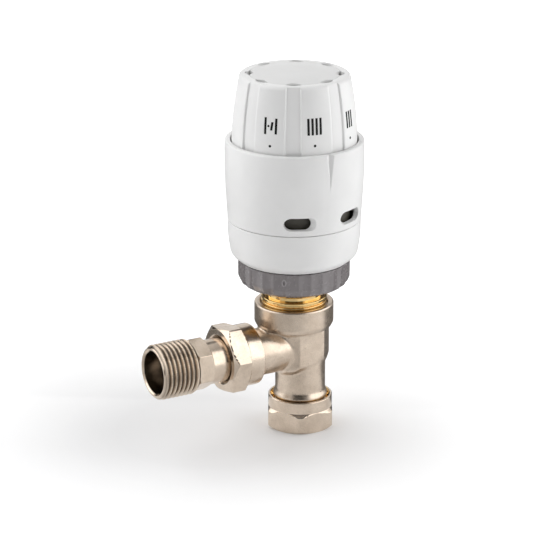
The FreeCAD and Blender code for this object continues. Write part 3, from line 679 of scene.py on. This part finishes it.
def obround(half_length, radius, count_long, count_end):
    """Points of a slot outline: top from left to right, right end, bottom, left end."""
    arc = math.pi * radius / 4
    total = 2 * half_length + 2 * arc
    points = []
    for k in range(count_long):
        s = total * k / count_long
        if s < arc:
            t = 3 * math.pi / 4 - s / radius
            points.append((-half_length + radius * math.cos(t), radius * math.sin(t)))
        elif s < total - arc:
            points.append((-half_length + s - arc, radius))
        else:
            t = math.pi / 2 - (s - total + arc) / radius
            points.append((half_length + radius * math.cos(t), radius * math.sin(t)))
    for k in range(count_end):
        t = math.pi / 4 - math.pi / 2 * k / count_end
        points.append((half_length + radius * math.cos(t), radius * math.sin(t)))
    points = np.array(points)
    return np.concatenate([points, -points])


def add_sleeve():
    rows = sleeve_rows()
    top = int(np.argmax(rows[:, 1]))
    outer_part, inner_part = rows[:top + 1], rows[top + 1:]
    wall_r, wall_z = inner_part[:, 0], inner_part[:, 1]
    wall_rows = inner_part[(wall_z > SLEEVE_LOW[2] + 0.5) & (wall_r < 23.7) & (wall_z < 95.9)]
    wall_rows = wall_rows[np.argsort(wall_rows[:, 1])]

    def outside(z):
        return np.interp(z, outer_part[:, 1], outer_part[:, 0])

    def inside(z):
        return np.interp(z, wall_rows[:, 1], wall_rows[:, 0])

    # columns: the notch region, then plain and patch regions all round
    notch_shares = np.array([-1.6, -1.3, -1.12, -1.0, -0.9, -0.75, -0.5, -0.25, -0.1, 0.0, 0.1, 0.25, 0.5,
                             0.75, 0.9, 1.0, 1.12, 1.3, 1.6])
    near, far, half, full = PATCH_NEAR, PATCH_FAR, math.pi, 2 * math.pi
    spans = [(-near, -NOTCH_REACH, 2), (NOTCH_REACH, near, 2), (near, far, 30), (far, half - far, 64),
             (half - far, half - near, 30), (half - near, half + near, 10), (half + near, half + far, 30),
             (half + far, full - far, 64), (full - far, full - near, 30)]
    columns = []
    for start, end, count in spans:
        steps = list(np.linspace(start, end, count + 1)[:-1])
        if start == -PATCH_NEAR:
            columns += [(t, None) for t in steps] + [(-NOTCH_REACH, None)]
            columns += [(0.0, share) for share in notch_shares]
        else:
            columns += [(t, None) for t in steps]
    angles = np.array([c[0] for c in columns])
    shares = np.array([np.nan if c[1] is None else c[1] for c in columns])
    r, a = np.meshgrid(rows[:, 0], angles)
    h = np.broadcast_to(rows[:, 1], r.shape).copy()
    share = np.broadcast_to(shares[:, None], r.shape)
    in_notch = ~np.isnan(share)
    rise = np.clip((h - NOTCH_LOW) / (SLEEVE_TOP - NOTCH_LOW), 0.0, 1.0)
    width = NOTCH_HALF * rise
    offset = np.where(in_notch, share * np.maximum(width, 0.3), 0.0)
    a = np.where(in_notch, offset / r, a)
    cut = NOTCH_DEPTH * rise * np.maximum(0.0, 1.0 - np.abs(offset) / np.maximum(width, 1e-6))
    r = np.where(in_notch & (cut > 0), soft_min(r, outside(np.minimum(h, SLEEVE_TOP - 2.0)) - cut, 0.05), r)
    points = [upright(r, h, a).reshape(-1, 3)]
    index = np.arange(r.size).reshape(r.shape)

    # windows: leave the patch out of the grid and fill it with rings round a slot
    is_outer = np.arange(len(rows)) <= top
    is_wall = ~is_outer & (rows[:, 0] < 23.7) & (rows[:, 1] > SLEEVE_LOW[2] + 0.3)
    centre = (rows[:, 1] > PATCH_LOW - 1e-6) & (rows[:, 1] < PATCH_HIGH + 1e-6)
    outer_rows = np.where(is_outer & centre)[0]
    wall_index = np.where(is_wall & centre)[0][::-1]
    skip = np.zeros(index.shape, bool)
    rings_faces = []
    total = r.size
    for side, back in ((1, False), (-1, False), (1, True), (-1, True)):
        low, high = PATCH_NEAR, PATCH_FAR
        if side < 0:
            low, high = 2 * math.pi - PATCH_FAR, 2 * math.pi - PATCH_NEAR
        if back:
            mirror = math.pi if side > 0 else 3 * math.pi
            low, high = mirror - high, mirror - low
        wrapped = np.where(angles < -PATCH_NEAR / 2, angles + 2 * math.pi, angles)
        patch = np.where((wrapped > low - 1e-6) & (wrapped < high + 1e-6) & ~in_notch[:, 0])[0]
        patch = patch[np.argsort(wrapped[patch])]
        skip[np.ix_(patch[:-1], outer_rows[:-1])] = True
        skip[np.ix_(patch[:-1], wall_index[1:])] = True
        if back:
            patch = patch[::-1]
        loops = []
        for edge_rows in (outer_rows, wall_index):
            top = [index[c, edge_rows[-1]] for c in patch[:-1]]
            right = [index[patch[-1], row] for row in edge_rows[::-1][:-1]]
            bottom = [index[c, edge_rows[0]] for c in patch[::-1][:-1]]
            left = [index[patch[0], row] for row in edge_rows[:-1]]
            loops.append(top + right + bottom + left)
        count_long, count_end = len(patch) - 1, len(outer_rows) - 1
        flat = points[0]
        x_middle = HEAD_X + side * WINDOW_X

        def on_surface(xz, radius):
            y = np.sqrt(np.maximum(radius ** 2 - (xz[:, 0] - HEAD_X) ** 2, 0.0))
            return np.column_stack([xz[:, 0], y if back else -y, xz[:, 1]])

        def slot_ring(half_length, radius):
            ring = obround(half_length, radius, count_long, count_end)
            return ring + np.array([x_middle, WINDOW_Z])

        outer_edge = flat[loops[0]][:, [0, 2]]
        inner_edge = flat[loops[1]][:, [0, 2]]
        first, last = slot_ring(3.0, 2.55), slot_ring(2.0, 2.36)
        chain = [loops[0]]
        for t in (0.3, 0.55, 0.75, 0.9, 0.97):
            xz = outer_edge + (first - outer_edge) * t
            chain.append(on_surface(xz, outside(xz[:, 1])))
        for half_length, radius, depth in (
                (3.0, 2.55, 0.0), (2.98, 2.53, 0.03), (2.94, 2.50, 0.12), (2.86, 2.47, 0.3), (2.6, 2.43, 0.8),
                (2.3, 2.40, 1.3), (2.08, 2.37, 1.7)):
            xz = slot_ring(half_length, radius)
            chain.append(on_surface(xz, outside(xz[:, 1]) - depth))
        chain.append(on_surface(last, inside(last[:, 1]) + 0.12))
        for t in (0.04, 0.15, 0.5):
            xz = last + (inner_edge - last) * t
            chain.append(on_surface(xz, inside(xz[:, 1])))
        ids = [np.array(loops[0])]
        for ring in chain[1:]:
            points.append(ring)
            ids.append(np.arange(total, total + len(ring)))
            total += len(ring)
        ids.append(np.array(loops[1]))
        for one, two in zip(ids[:-1], ids[1:]):
            quads = np.stack([one, two, np.roll(two, -1), np.roll(one, -1)], axis=-1)
            rings_faces += [tuple(q) if back else tuple(reversed(q)) for q in quads.tolist()]
    points = np.concatenate(points)
    faces = grid_faces(index, skip=skip) + rings_faces
    piece = add_piece("sleeve_shell", points, faces, "head", WHITE, ["outer_sleeve"],
                      sharp=50)
    fix_normals(piece)


def fix_normals(piece):
    """Drops loose points and turns every face of a closed mesh outward."""
    work = bmesh.new()
    work.from_mesh(piece.data)
    loose = [v for v in work.verts if not v.link_faces]
    bmesh.ops.delete(work, geom=loose, context="VERTS")
    bmesh.ops.recalc_face_normals(work, faces=work.faces)
    work.to_mesh(piece.data)
    work.free()


# --- lower ring and locking ring ---
def add_lower_ring():
    outline = rounded([
        (15.6, LOWER_LOW[2]), (20.9, LOWER_LOW[2], 0.3), (23.9, 70.6, 3.0), (24.9, 77.0, 30.0),
        (25.1, SEAM_Z - 0.1, 0.25), (23.95, SEAM_Z - 0.1), (23.95, 82.0), (23.1, 82.0), (22.9, 77.0),
        (22.1, 71.2), (22.0, 70.9), (19.9, 70.9), (19.9, 69.9), (15.6, 69.9),
    ], step=1.0)
    add_turned("lower_ring_shell", outline, turn_angles(240), "head", WHITE, ["lower_ring"])


RING_R = 21.2
RING_FLUTES = 28
FLUTE_DEPTH = 0.38


def add_locking_ring():
    outline = rounded([
        (16.2, RING_LOW[2]), (18.0, RING_LOW[2], 0.8), (20.2, 59.2, 2.0), (RING_R, 61.6, 2.0),
        (RING_R, RING_TOP, 0.4), (15.32, RING_TOP), (15.32, 65.75), (16.7, 65.75), (16.7, 63.55),
        (15.0, 63.55), (15.0, 58.9),
    ], step=0.8)

    def warp(r, h, a):
        pitch = 2 * math.pi / RING_FLUTES
        along = (np.mod(a, pitch) - pitch / 2) * RING_R
        depth = soft_max(FLUTE_DEPTH - along ** 2 / 12.6, 0.0, 0.08)
        share = np.clip((r - 18.2) / 2.2, 0.0, 1.0) * np.clip((RING_TOP + 0.05 - h) / 0.5, 0.35, 1.0)
        return r - depth * share, h

    add_turned("locking_ring_shell", outline, turn_angles(RING_FLUTES * 18),
               "locking_ring", GREY, ["locking_ring"], warp=warp)
    add_ring_badge()


BADGE_RINGS = (   # half width, half height, lift above the ring
    (0.46, 0.9, -0.6), (0.46, 0.9, -0.02), (0.56, 1.0, 0.1), (0.8, 1.32, 0.1), (0.9, 1.42, -0.02),
    (0.9, 1.42, -0.6))


def add_ring_badge():
    """A small raised oval, a plain mould mark, on the front of the locking ring."""
    azimuth, height = math.radians(-40.5), 64.6
    rings = []
    count = 28
    for across, up, lift in BADGE_RINGS:
        t = turn_angles(count)
        u, z = across * np.cos(t), height + up * np.sin(t)
        r = np.full(count, RING_R + 0.12 + lift)
        rings.append(upright(r, z, azimuth + u / RING_R))
    points = np.concatenate(rings)
    index = np.arange(len(points)).reshape(len(rings), count)
    faces = outward(points, grid_faces(index))
    add_piece("locking_ring_badge", points, faces, "locking_ring", GREY_RAISED)


# --- metal pieces ---
def add_insert():
    threads = []
    for k in range(3):
        base = 58.7 + 1.5 * k
        threads += [(14.1, base), (14.9, base + 0.63), (14.9, base + 0.87)]
    outline = rounded([
        (2.06, 42.0), (6.9, 42.0), (6.9, 38.7), (9.2, 38.7), (9.2, 48.9), (9.8, 50.4), (12.45, 50.4),
        (12.45, 51.5, 0.2), (11.8, 51.7), (11.8, 52.1), (12.45, 52.3, 0.2), (12.45, 53.4, 0.4),
        (10.9, 53.4), (10.9, 54.9), (10.5, 55.2), (10.9, 55.5), (10.9, 56.1), (10.5, 56.4), (10.9, 56.7),
        (10.9, 57.8), (13.9, 58.4)] + threads + [
        (14.1, 63.2), (14.1, INSERT_TOP), (9.5, INSERT_TOP), (9.0, 63.0), (9.0, 57.6), (6.5, 57.6),
        (6.5, 53.4), (6.0, 53.4), (6.0, 43.6), (2.06, 43.6),
    ], soft=0.1, step=1.2)
    add_turned("valve_insert_turned", outline, turn_angles(240), "valve", BRIGHT_BRASS,
               ["valve_insert"])


def add_compression_nut():
    outline = rounded([
        (8.9, 0.0), (12.2, 0.0, 0.4), (13.5, 1.1, 0.4), (13.5, 6.9, 0.3), (12.23, 7.9, 0.3),
        (12.23, NUT_TOP, 0.5), (11.5, NUT_TOP, 0.15), (10.55, 11.2), (10.55, 5.2), (8.95, 5.2), (7.6, 2.7),
        (7.6, 0.5),
    ], step=0.7)

    def warp(r, h, a):
        return soft_min(r, hex_radius(a, INLET_NUT_FLATS, INLET_NUT_CORNER), 0.16), h

    add_turned("compression_nut_turned", outline, turn_angles(540), "compression_nut",
               NICKEL_TURNED_Z, ["compression_nut"], place=on_pipe_axis, warp=warp)


def add_bare_cone():
    """The inlet nut's inside face, turned after plating: bare brass down to the olive."""
    outline = rounded([
        (11.42, NUT_TOP - 0.06), (11.5, NUT_TOP + 0.01), (10.56, 11.16), (10.56, 7.0), (10.4, 7.0),
        (10.4, 11.1)],
        soft=0.02)
    add_turned("compression_nut_bare_cone", outline, turn_angles(180),
               "compression_nut", BRIGHT_BRASS, place=on_pipe_axis)


def add_union_nut():
    front, back = UNION_LOW[0], UNION_HIGH[0]
    outline = rounded([
        (8.9, front + 0.5), (9.6, front), (11.6, front, 0.3), (13.86, -33.9, 0.3), (13.86, -29.0, 0.3),
        (11.8, -28.0, 0.4), (11.8, back, 0.7), (11.0, back), (10.55, back - 0.6), (10.55, -33.5),
        (8.9, -33.5),
    ], step=0.7)

    def warp(r, h, a):
        hexagon = soft_min(hex_radius(a, UNION_NUT_FLATS, UNION_NUT_CORNER), 13.74, 0.2)
        return np.where(r > 11.0, soft_min(r, np.maximum(hexagon, 11.8), 0.16), r), h

    add_turned("union_nut_turned", outline, turn_angles(540), "union_nut", NICKEL_TURNED_X,
               ["union_nut"], place=sideways, warp=warp)


SERRATIONS = 84


def add_tailpiece():
    flange = (-33.4, -31.2)
    hex_corner = TAIL_FLATS / 2 / math.cos(math.radians(30))
    thread_rows = [(THREAD_R, x, 0.02) for x in np.arange(TAIL_END + 1.1, TAIL_THREAD_BACK + 0.01, 0.42)]
    outline = rounded([
        (8.7, TAIL_END), (9.2, TAIL_END)] + thread_rows + [
        (9.2, TAIL_THREAD_BACK + 0.5, 0.1), (9.5, TAIL_HEX[0], 0.1), (hex_corner, TAIL_HEX[0] + 0.4, 0.15),
        (hex_corner, TAIL_HEX[1] - 0.75, 0.2), (9.1, TAIL_HEX[1], 0.15), (8.45, TAIL_HEX[1] + 0.15, 0.2),
        (8.45, flange[0], 0.2), (10.1, flange[0], 0.3), (10.1, flange[1], 0.3), (6.5, flange[1], 0.2),
        (6.5, -50.4), (8.1, -52.0), (8.1, TAIL_END + 0.6),
    ], soft=0.1, step=0.14, support=0.05)

    def warp(r, h, a):
        hexed = soft_min(r, hex_radius(a, TAIL_FLATS, TAIL_CORNER), 0.14)
        in_hex = (r > 8.5) & (h > TAIL_HEX[0] - 0.02) & (h < TAIL_HEX[1] + 0.1)
        r = np.where(in_hex, np.maximum(hexed, 8.45), r)
        fade = np.clip((TAIL_THREAD_BACK + 0.1 - h) / 0.9, 0.0, 1.0)
        depth = thread_depth(h, a)
        notch = 0.3 * np.maximum(0.0, np.cos(SERRATIONS * a)) * np.clip(1.0 - depth / 0.4, 0.0, 1.0)
        screw = THREAD_R - (depth + notch) * fade
        in_thread = (r > 9.19) & (h < TAIL_THREAD_BACK + 0.45)
        return np.where(in_thread, soft_min(r, np.maximum(screw, 9.2), 0.05), r), h

    add_turned("tailpiece_turned", outline, turn_angles(720), "tail", NICKEL_TAIL,
               ["tailpiece"], place=sideways, warp=warp)


def add_body_threads():
    """The two hidden male threads of the body, seen only when their nuts are run off."""
    def cut(r, h, a):
        return np.where(r > 9.6, r - thread_depth(h, a), r), h

    inlet = rounded([
        (8.97, 6.0), (9.4, 6.0), (10.4, 6.5), (10.4, 10.2), (9.4, 10.7), (8.97, 10.7)], step=0.14,
        support=0.05)
    add_turned("body_inlet_thread", inlet, turn_angles(300), "valve", NICKEL_TURNED_Z,
               place=on_pipe_axis, warp=cut)
    branch = rounded([
        (8.6, -30.1), (9.4, -30.1), (10.2, -29.6), (10.2, -23.0), (9.4, -22.5), (8.6, -22.5)], step=0.14,
        support=0.05)
    add_turned("body_branch_thread", branch, turn_angles(300), "valve", NICKEL_TURNED_X,
               place=sideways, warp=cut)


# --- valve body: a blended solid field, skinned ---
def outline_distance(corners, a, b, soft=0.3):
    """Signed distance, negative inside, from points (a, b) to a closed outline."""
    path = rounded(corners, soft=soft, step=1e6, support=1e6)
    best = np.full(a.shape, 1e9)
    inside = np.zeros(a.shape, bool)
    for (a0, b0), (a1, b1) in zip(path, np.roll(path, -1, axis=0)):
        da, db = a1 - a0, b1 - b0
        length = da * da + db * db
        if length < 1e-12:
            continue
        t = np.clip(((a - a0) * da + (b - b0) * db) / length, 0.0, 1.0)
        best = np.minimum(best, (a - a0 - t * da) ** 2 + (b - b0 - t * db) ** 2)
        if abs(db) > 1e-12:
            inside ^= ((b0 > b) != (b1 > b)) & (a < (b - b0) * da / db + a0)
    return np.where(inside, -1.0, 1.0) * np.sqrt(best)


NECK = [(0, 5.9), (9.35, 5.9), (9.35, 11.4), (10.35, 12.2, 0.5), (10.35, 13.2, 1.2), (9.57, 15.0, 3.0),
        (9.57, 34.0), (0, 34.0)]
BRANCH = [(0, -2.0), (0, -30.2), (9.2, -30.2), (9.2, -22.6), (8.6, -22.5), (8.6, -21.6), (9.0, -21.2),
          (9.0, -13.5, 4), (8.5, -9.5, 4), (8.5, -2.0)]
CUP = [(0, 36.5), (9.4, 36.5), (10.6, 40.2, 2.5), (14.2, 41.3, 1.0), (15.05, 43.0, 1.2), (15.05, 50.3, 0.3),
       (14.65, 50.7, 0.3), (0, 50.7)]
ROUNDING = [(0, -11.0), (9.6, -11.0), (11.6, -7.0, 6), (11.6, 0.0, 14), (9.0, 7.5, 5), (5.4, 10.6, 1),
            (0, 10.6)]
SOCKET = [(0, 5.0), (9.5, 5.0), (8.95, 5.9), (7.6, 8.6), (7.6, 16.0), (5.6, 16.0), (5.6, 22.0), (0, 22.0)]
CHAMBER = [(0, 21.0), (5.0, 21.0), (5.0, 28.3), (5.7, 28.3), (6.0, 27.4), (7.0, 27.4), (7.0, 38.6),
           (9.95, 38.6), (9.95, 49.0), (12.75, 49.0), (12.75, 50.3), (13.1, 50.7), (13.1, 52.0), (0, 52.0)]
SKIN_CELL, SKIN_CELL_QUICK = 0.4, 0.6
SKIN_MARGIN = 0.65
SKIN_STEPS = 3            # moves of each point onto the surface
BRANCH_BORE = [(0, -8.5), (6.5, -8.5), (6.5, -29.0), (7.9, -30.7), (0, -30.7)]


def body_field(p):
    """Signed distance of the forged body: neck, branch, wrench block and cup, less its bores."""
    x, y, z = p[..., 0], p[..., 1], p[..., 2]
    pipe_r = np.hypot(x, y)
    head_r = np.hypot(x - HEAD_X, y)
    tail_r = np.hypot(y, z - TAIL_Z)
    flat_y = np.abs(y)
    prism = soft_max(x - 10.0, flat_y - 9.9, 0.2)
    prism = soft_max(prism, (x + flat_y - 14.7) / math.sqrt(2), 0.2)
    prism = soft_max(prism, -x - 10.2, 0.2)
    prism = soft_max(prism, (-3.9 * x + 4.2 * flat_y - 64.98) / 5.73, 0.2)
    under = np.minimum(outline_distance(ROUNDING, tail_r, x), TAIL_Z - z)
    block = soft_max(soft_max(prism, under, 0.4), z - 43.0, 0.6)
    solid = soft_min(outline_distance(NECK, pipe_r, z), block, 0.5)
    solid = soft_min(solid, outline_distance(BRANCH, tail_r, x), 1.0)
    solid = soft_min(solid, outline_distance(CUP, head_r, z), 1.0)
    hollow = np.minimum(outline_distance(SOCKET, pipe_r, z, 0.1), outline_distance(CHAMBER, head_r, z, 0.1))
    hollow = np.minimum(hollow, outline_distance(BRANCH_BORE, tail_r, x, 0.1))
    return soft_max(solid, -hollow, 0.25)


def field_gradient(field, p):
    step = 0.02
    grad = np.empty_like(p)
    for axis in range(3):
        offset = np.zeros(3)
        offset[axis] = step
        grad[:, axis] = (field(p + offset) - field(p - offset)) / (2 * step)
    return grad


def skin(field, low, high, cell):
    """Quads over the zero surface of a field: one point in each cell that it crosses, then moved onto it."""
    counts = np.ceil((np.array(high) - low) / cell).astype(int) + 1
    axes = [low[k] + cell * np.arange(counts[k]) for k in range(3)]
    values = field(np.stack(np.meshgrid(*axes, indexing="ij"), axis=-1))
    inside = values < 0
    shape = tuple(counts - 1)
    total = np.zeros(shape + (3,))
    hits = np.zeros(shape, int)
    corners = [(i, j, k) for i in (0, 1) for j in (0, 1) for k in (0, 1)]

    def corner_view(array, corner):
        return array[tuple(slice(c, c + n) for c, n in zip(corner, shape))]

    for one in corners:
        for axis in range(3):
            if one[axis]:
                continue
            two = tuple(1 if k == axis else c for k, c in enumerate(one))
            crossed = corner_view(inside, one) != corner_view(inside, two)
            a, b = corner_view(values, one)[crossed], corner_view(values, two)[crossed]
            spot = np.tile(np.array(one, float), (len(a), 1))
            spot[:, axis] = a / (a - b)
            total[crossed] += spot
            hits[crossed] += 1
    active = hits > 0
    cells = np.argwhere(active)
    points = np.array(low) + cell * (cells + total[active] / hits[active][:, None])
    index = np.full(shape, -1)
    index[active] = np.arange(len(points))
    faces = []
    for axis in range(3):
        u, v = (axis + 1) % 3, (axis + 2) % 3
        near = [slice(1, n) for n in shape]
        near[axis] = slice(0, shape[axis])
        first = inside[tuple(near[k] if k != axis else slice(0, shape[axis]) for k in range(3))]
        far = list(near)
        far[axis] = slice(1, shape[axis] + 1)
        second = inside[tuple(far)]
        change = np.argwhere(first != second)
        leaving = first[first != second]
        origin = change.copy()
        origin[:, u] += 1
        origin[:, v] += 1

        def at(du, dv):
            spot = origin.copy()
            spot[:, u] -= du
            spot[:, v] -= dv
            return index[tuple(spot.T)]

        quads = np.stack([at(1, 1), at(0, 1), at(0, 0), at(1, 0)], axis=-1)
        quads = np.where(leaving[:, None], quads, quads[:, ::-1])
        faces += [tuple(q) for q in quads.tolist()]
    for _ in range(SKIN_STEPS):
        gradient = field_gradient(field, points)
        size = np.maximum((gradient ** 2).sum(1), 0.25)
        move = gradient * (field(points) / size)[:, None]
        reach = np.maximum(np.linalg.norm(move, axis=1) / (cell / 4), 1.0)
        points = points - move / reach[:, None]
    return points, faces


def add_valve_body():
    cell = SKIN_CELL
    points, faces = skin(body_field, BODY_LOW - SKIN_MARGIN, BODY_HIGH + SKIN_MARGIN, cell)
    add_piece("valve_body_forging", points, faces, "valve", NICKEL_CAST, ["valve_body"], sharp=60)
    add_body_threads()


# --- studio ---
FLOOR_SIZE = 12.0


def rectangle(name, width, height, material):
    w, h = width / 2, height / 2
    mesh = bpy.data.meshes.new(name)
    mesh.from_pydata([(-w, -h, 0), (w, -h, 0), (w, h, 0), (-w, h, 0)], [], [(0, 1, 2, 3)])
    mesh.materials.append(material)
    return link(name, mesh)


def add_card(name, azimuth, elevation, distance, width, height, colour=0.0):
    """A dark card that only shapes reflections and shade: the camera doesn't see it."""
    material = start_material(name, Base_Color=(colour, colour, colour, 1.0), Roughness=1.0,
                              Specular_IOR_Level=0.0)[0]
    card = rectangle(name, width, height, material)
    aim(card, azimuth, elevation, distance)
    card.visible_camera = False
    return card


def add_floor_card(name, azimuth, distance, width, depth, colour):
    """A matt card lying on the floor that shows only in reflections."""
    card = add_card(name, azimuth, 0.0, distance, width, depth, colour)
    card.location = (card.location.x, card.location.y, CAD_BOX[0][2] + 0.0006)
    card.rotation_euler = (0.0, 0.0, math.radians(azimuth))
    card.visible_diffuse = False
    card.visible_shadow = False


def add_softbox(name, azimuth, elevation, distance, width, height, radiance):
    """A rectangular light facing the object; azimuth and elevation in degrees, lengths in metres."""
    light = bpy.data.lights.new(name, "AREA")
    light.shape = "RECTANGLE"
    light.size = width
    light.size_y = height
    light.energy = radiance * math.pi * width * height
    box = link(name, light)
    aim(box, azimuth, elevation, distance)
    box.visible_camera = False


def add_world(seen, light):
    """White where the camera looks past the floor, dimmer as a source of light."""
    world = bpy.data.worlds.new("world")
    bpy.context.scene.world = world
    world.use_nodes = True
    tree = world.node_tree
    ambient = tree.nodes["Background"]
    ambient.inputs["Color"].default_value = (1.0, 1.0, 1.0, 1.0)
    ambient.inputs["Strength"].default_value = light
    backdrop = tree.nodes.new("ShaderNodeBackground")
    backdrop.inputs["Strength"].default_value = seen
    mix = tree.nodes.new("ShaderNodeMixShader")
    rays = tree.nodes.new("ShaderNodeLightPath")
    tree.links.new(rays.outputs["Is Camera Ray"], mix.inputs[0])
    tree.links.new(ambient.outputs["Background"], mix.inputs[1])
    tree.links.new(backdrop.outputs["Background"], mix.inputs[2])
    tree.links.new(mix.outputs["Shader"], tree.nodes["World Output"].inputs["Surface"])


def add_floor():
    """A pale floor that glows white away from the object for the camera, with a painted shadow round the
    object where that glow is lower, and glows evenly for other rays.
    """
    material, tree, shader, place = start_material(
        "floor", Base_Color=(0.82, 0.82, 0.825, 1.0), Roughness=0.6, Emission_Color=(1.0, 1.0, 1.0, 1.0))
    away = shifted_length(tree, place, (0.035, -0.01, 0.0))
    # painted shadow: for the camera the floor's glow is low close to the object and rises away from it
    near = map_range(tree, away, 0.035, 0.16, 0.09, 0.55)
    far = map_range(tree, away, 0.3, 1.0, 0.0, 0.8)
    rays = tree.nodes.new("ShaderNodeLightPath")
    choose = map_range(tree, rays.outputs["Is Camera Ray"], 0.0, 1.0, 0.13, 0.0)
    tree.links.new(calculate(tree, "ADD", near, far), choose.node.inputs["To Max"])
    tree.links.new(choose, shader.inputs["Emission Strength"])
    floor = rectangle("floor", FLOOR_SIZE, FLOOR_SIZE, material)
    floor.location = (0, 0, CAD_BOX[0][2])


def add_studio():
    add_floor()
    add_world(1.1, 0.86)
    bpy.context.scene.view_settings.view_transform = "Standard"
    add_softbox("softbox_left", FRONT - 100, 42, 0.9, 1.5, 1.3, 1.12)
    add_softbox("softbox_right", FRONT + 84, 26, 0.9, 1.4, 1.0, 1.15)
    add_card("front_card", FRONT, 14.0, 1.35, 1.8, 0.75)
    add_card("top_card", FRONT, 60.0, 0.95, 1.1, 1.1, 0.15)
    add_floor_card("floor_card_back", FRONT + 175, 0.255, 0.55, 0.47, 0.14)
    add_floor_card("floor_card_front", FRONT - 25, 0.20, 0.22, 0.30, 0.62)
    add_card("back_top_card", FRONT + 153, 56.0, 1.0, 0.8, 0.7, 0.15)
    add_card("back_left_card", FRONT - 138, 6.0, 0.9, 0.5, 0.5)
    add_card("back_right_card", FRONT + 150, 6.0, 0.9, 0.5, 0.5)


add_camera()
dress_cad_nodes()
add_knob()
add_knob_cap()
add_marks()
add_sleeve()
add_lower_ring()
add_locking_ring()
add_insert()
add_compression_nut()
add_bare_cone()
add_union_nut()
add_tailpiece()
add_valve_body()
add_studio()
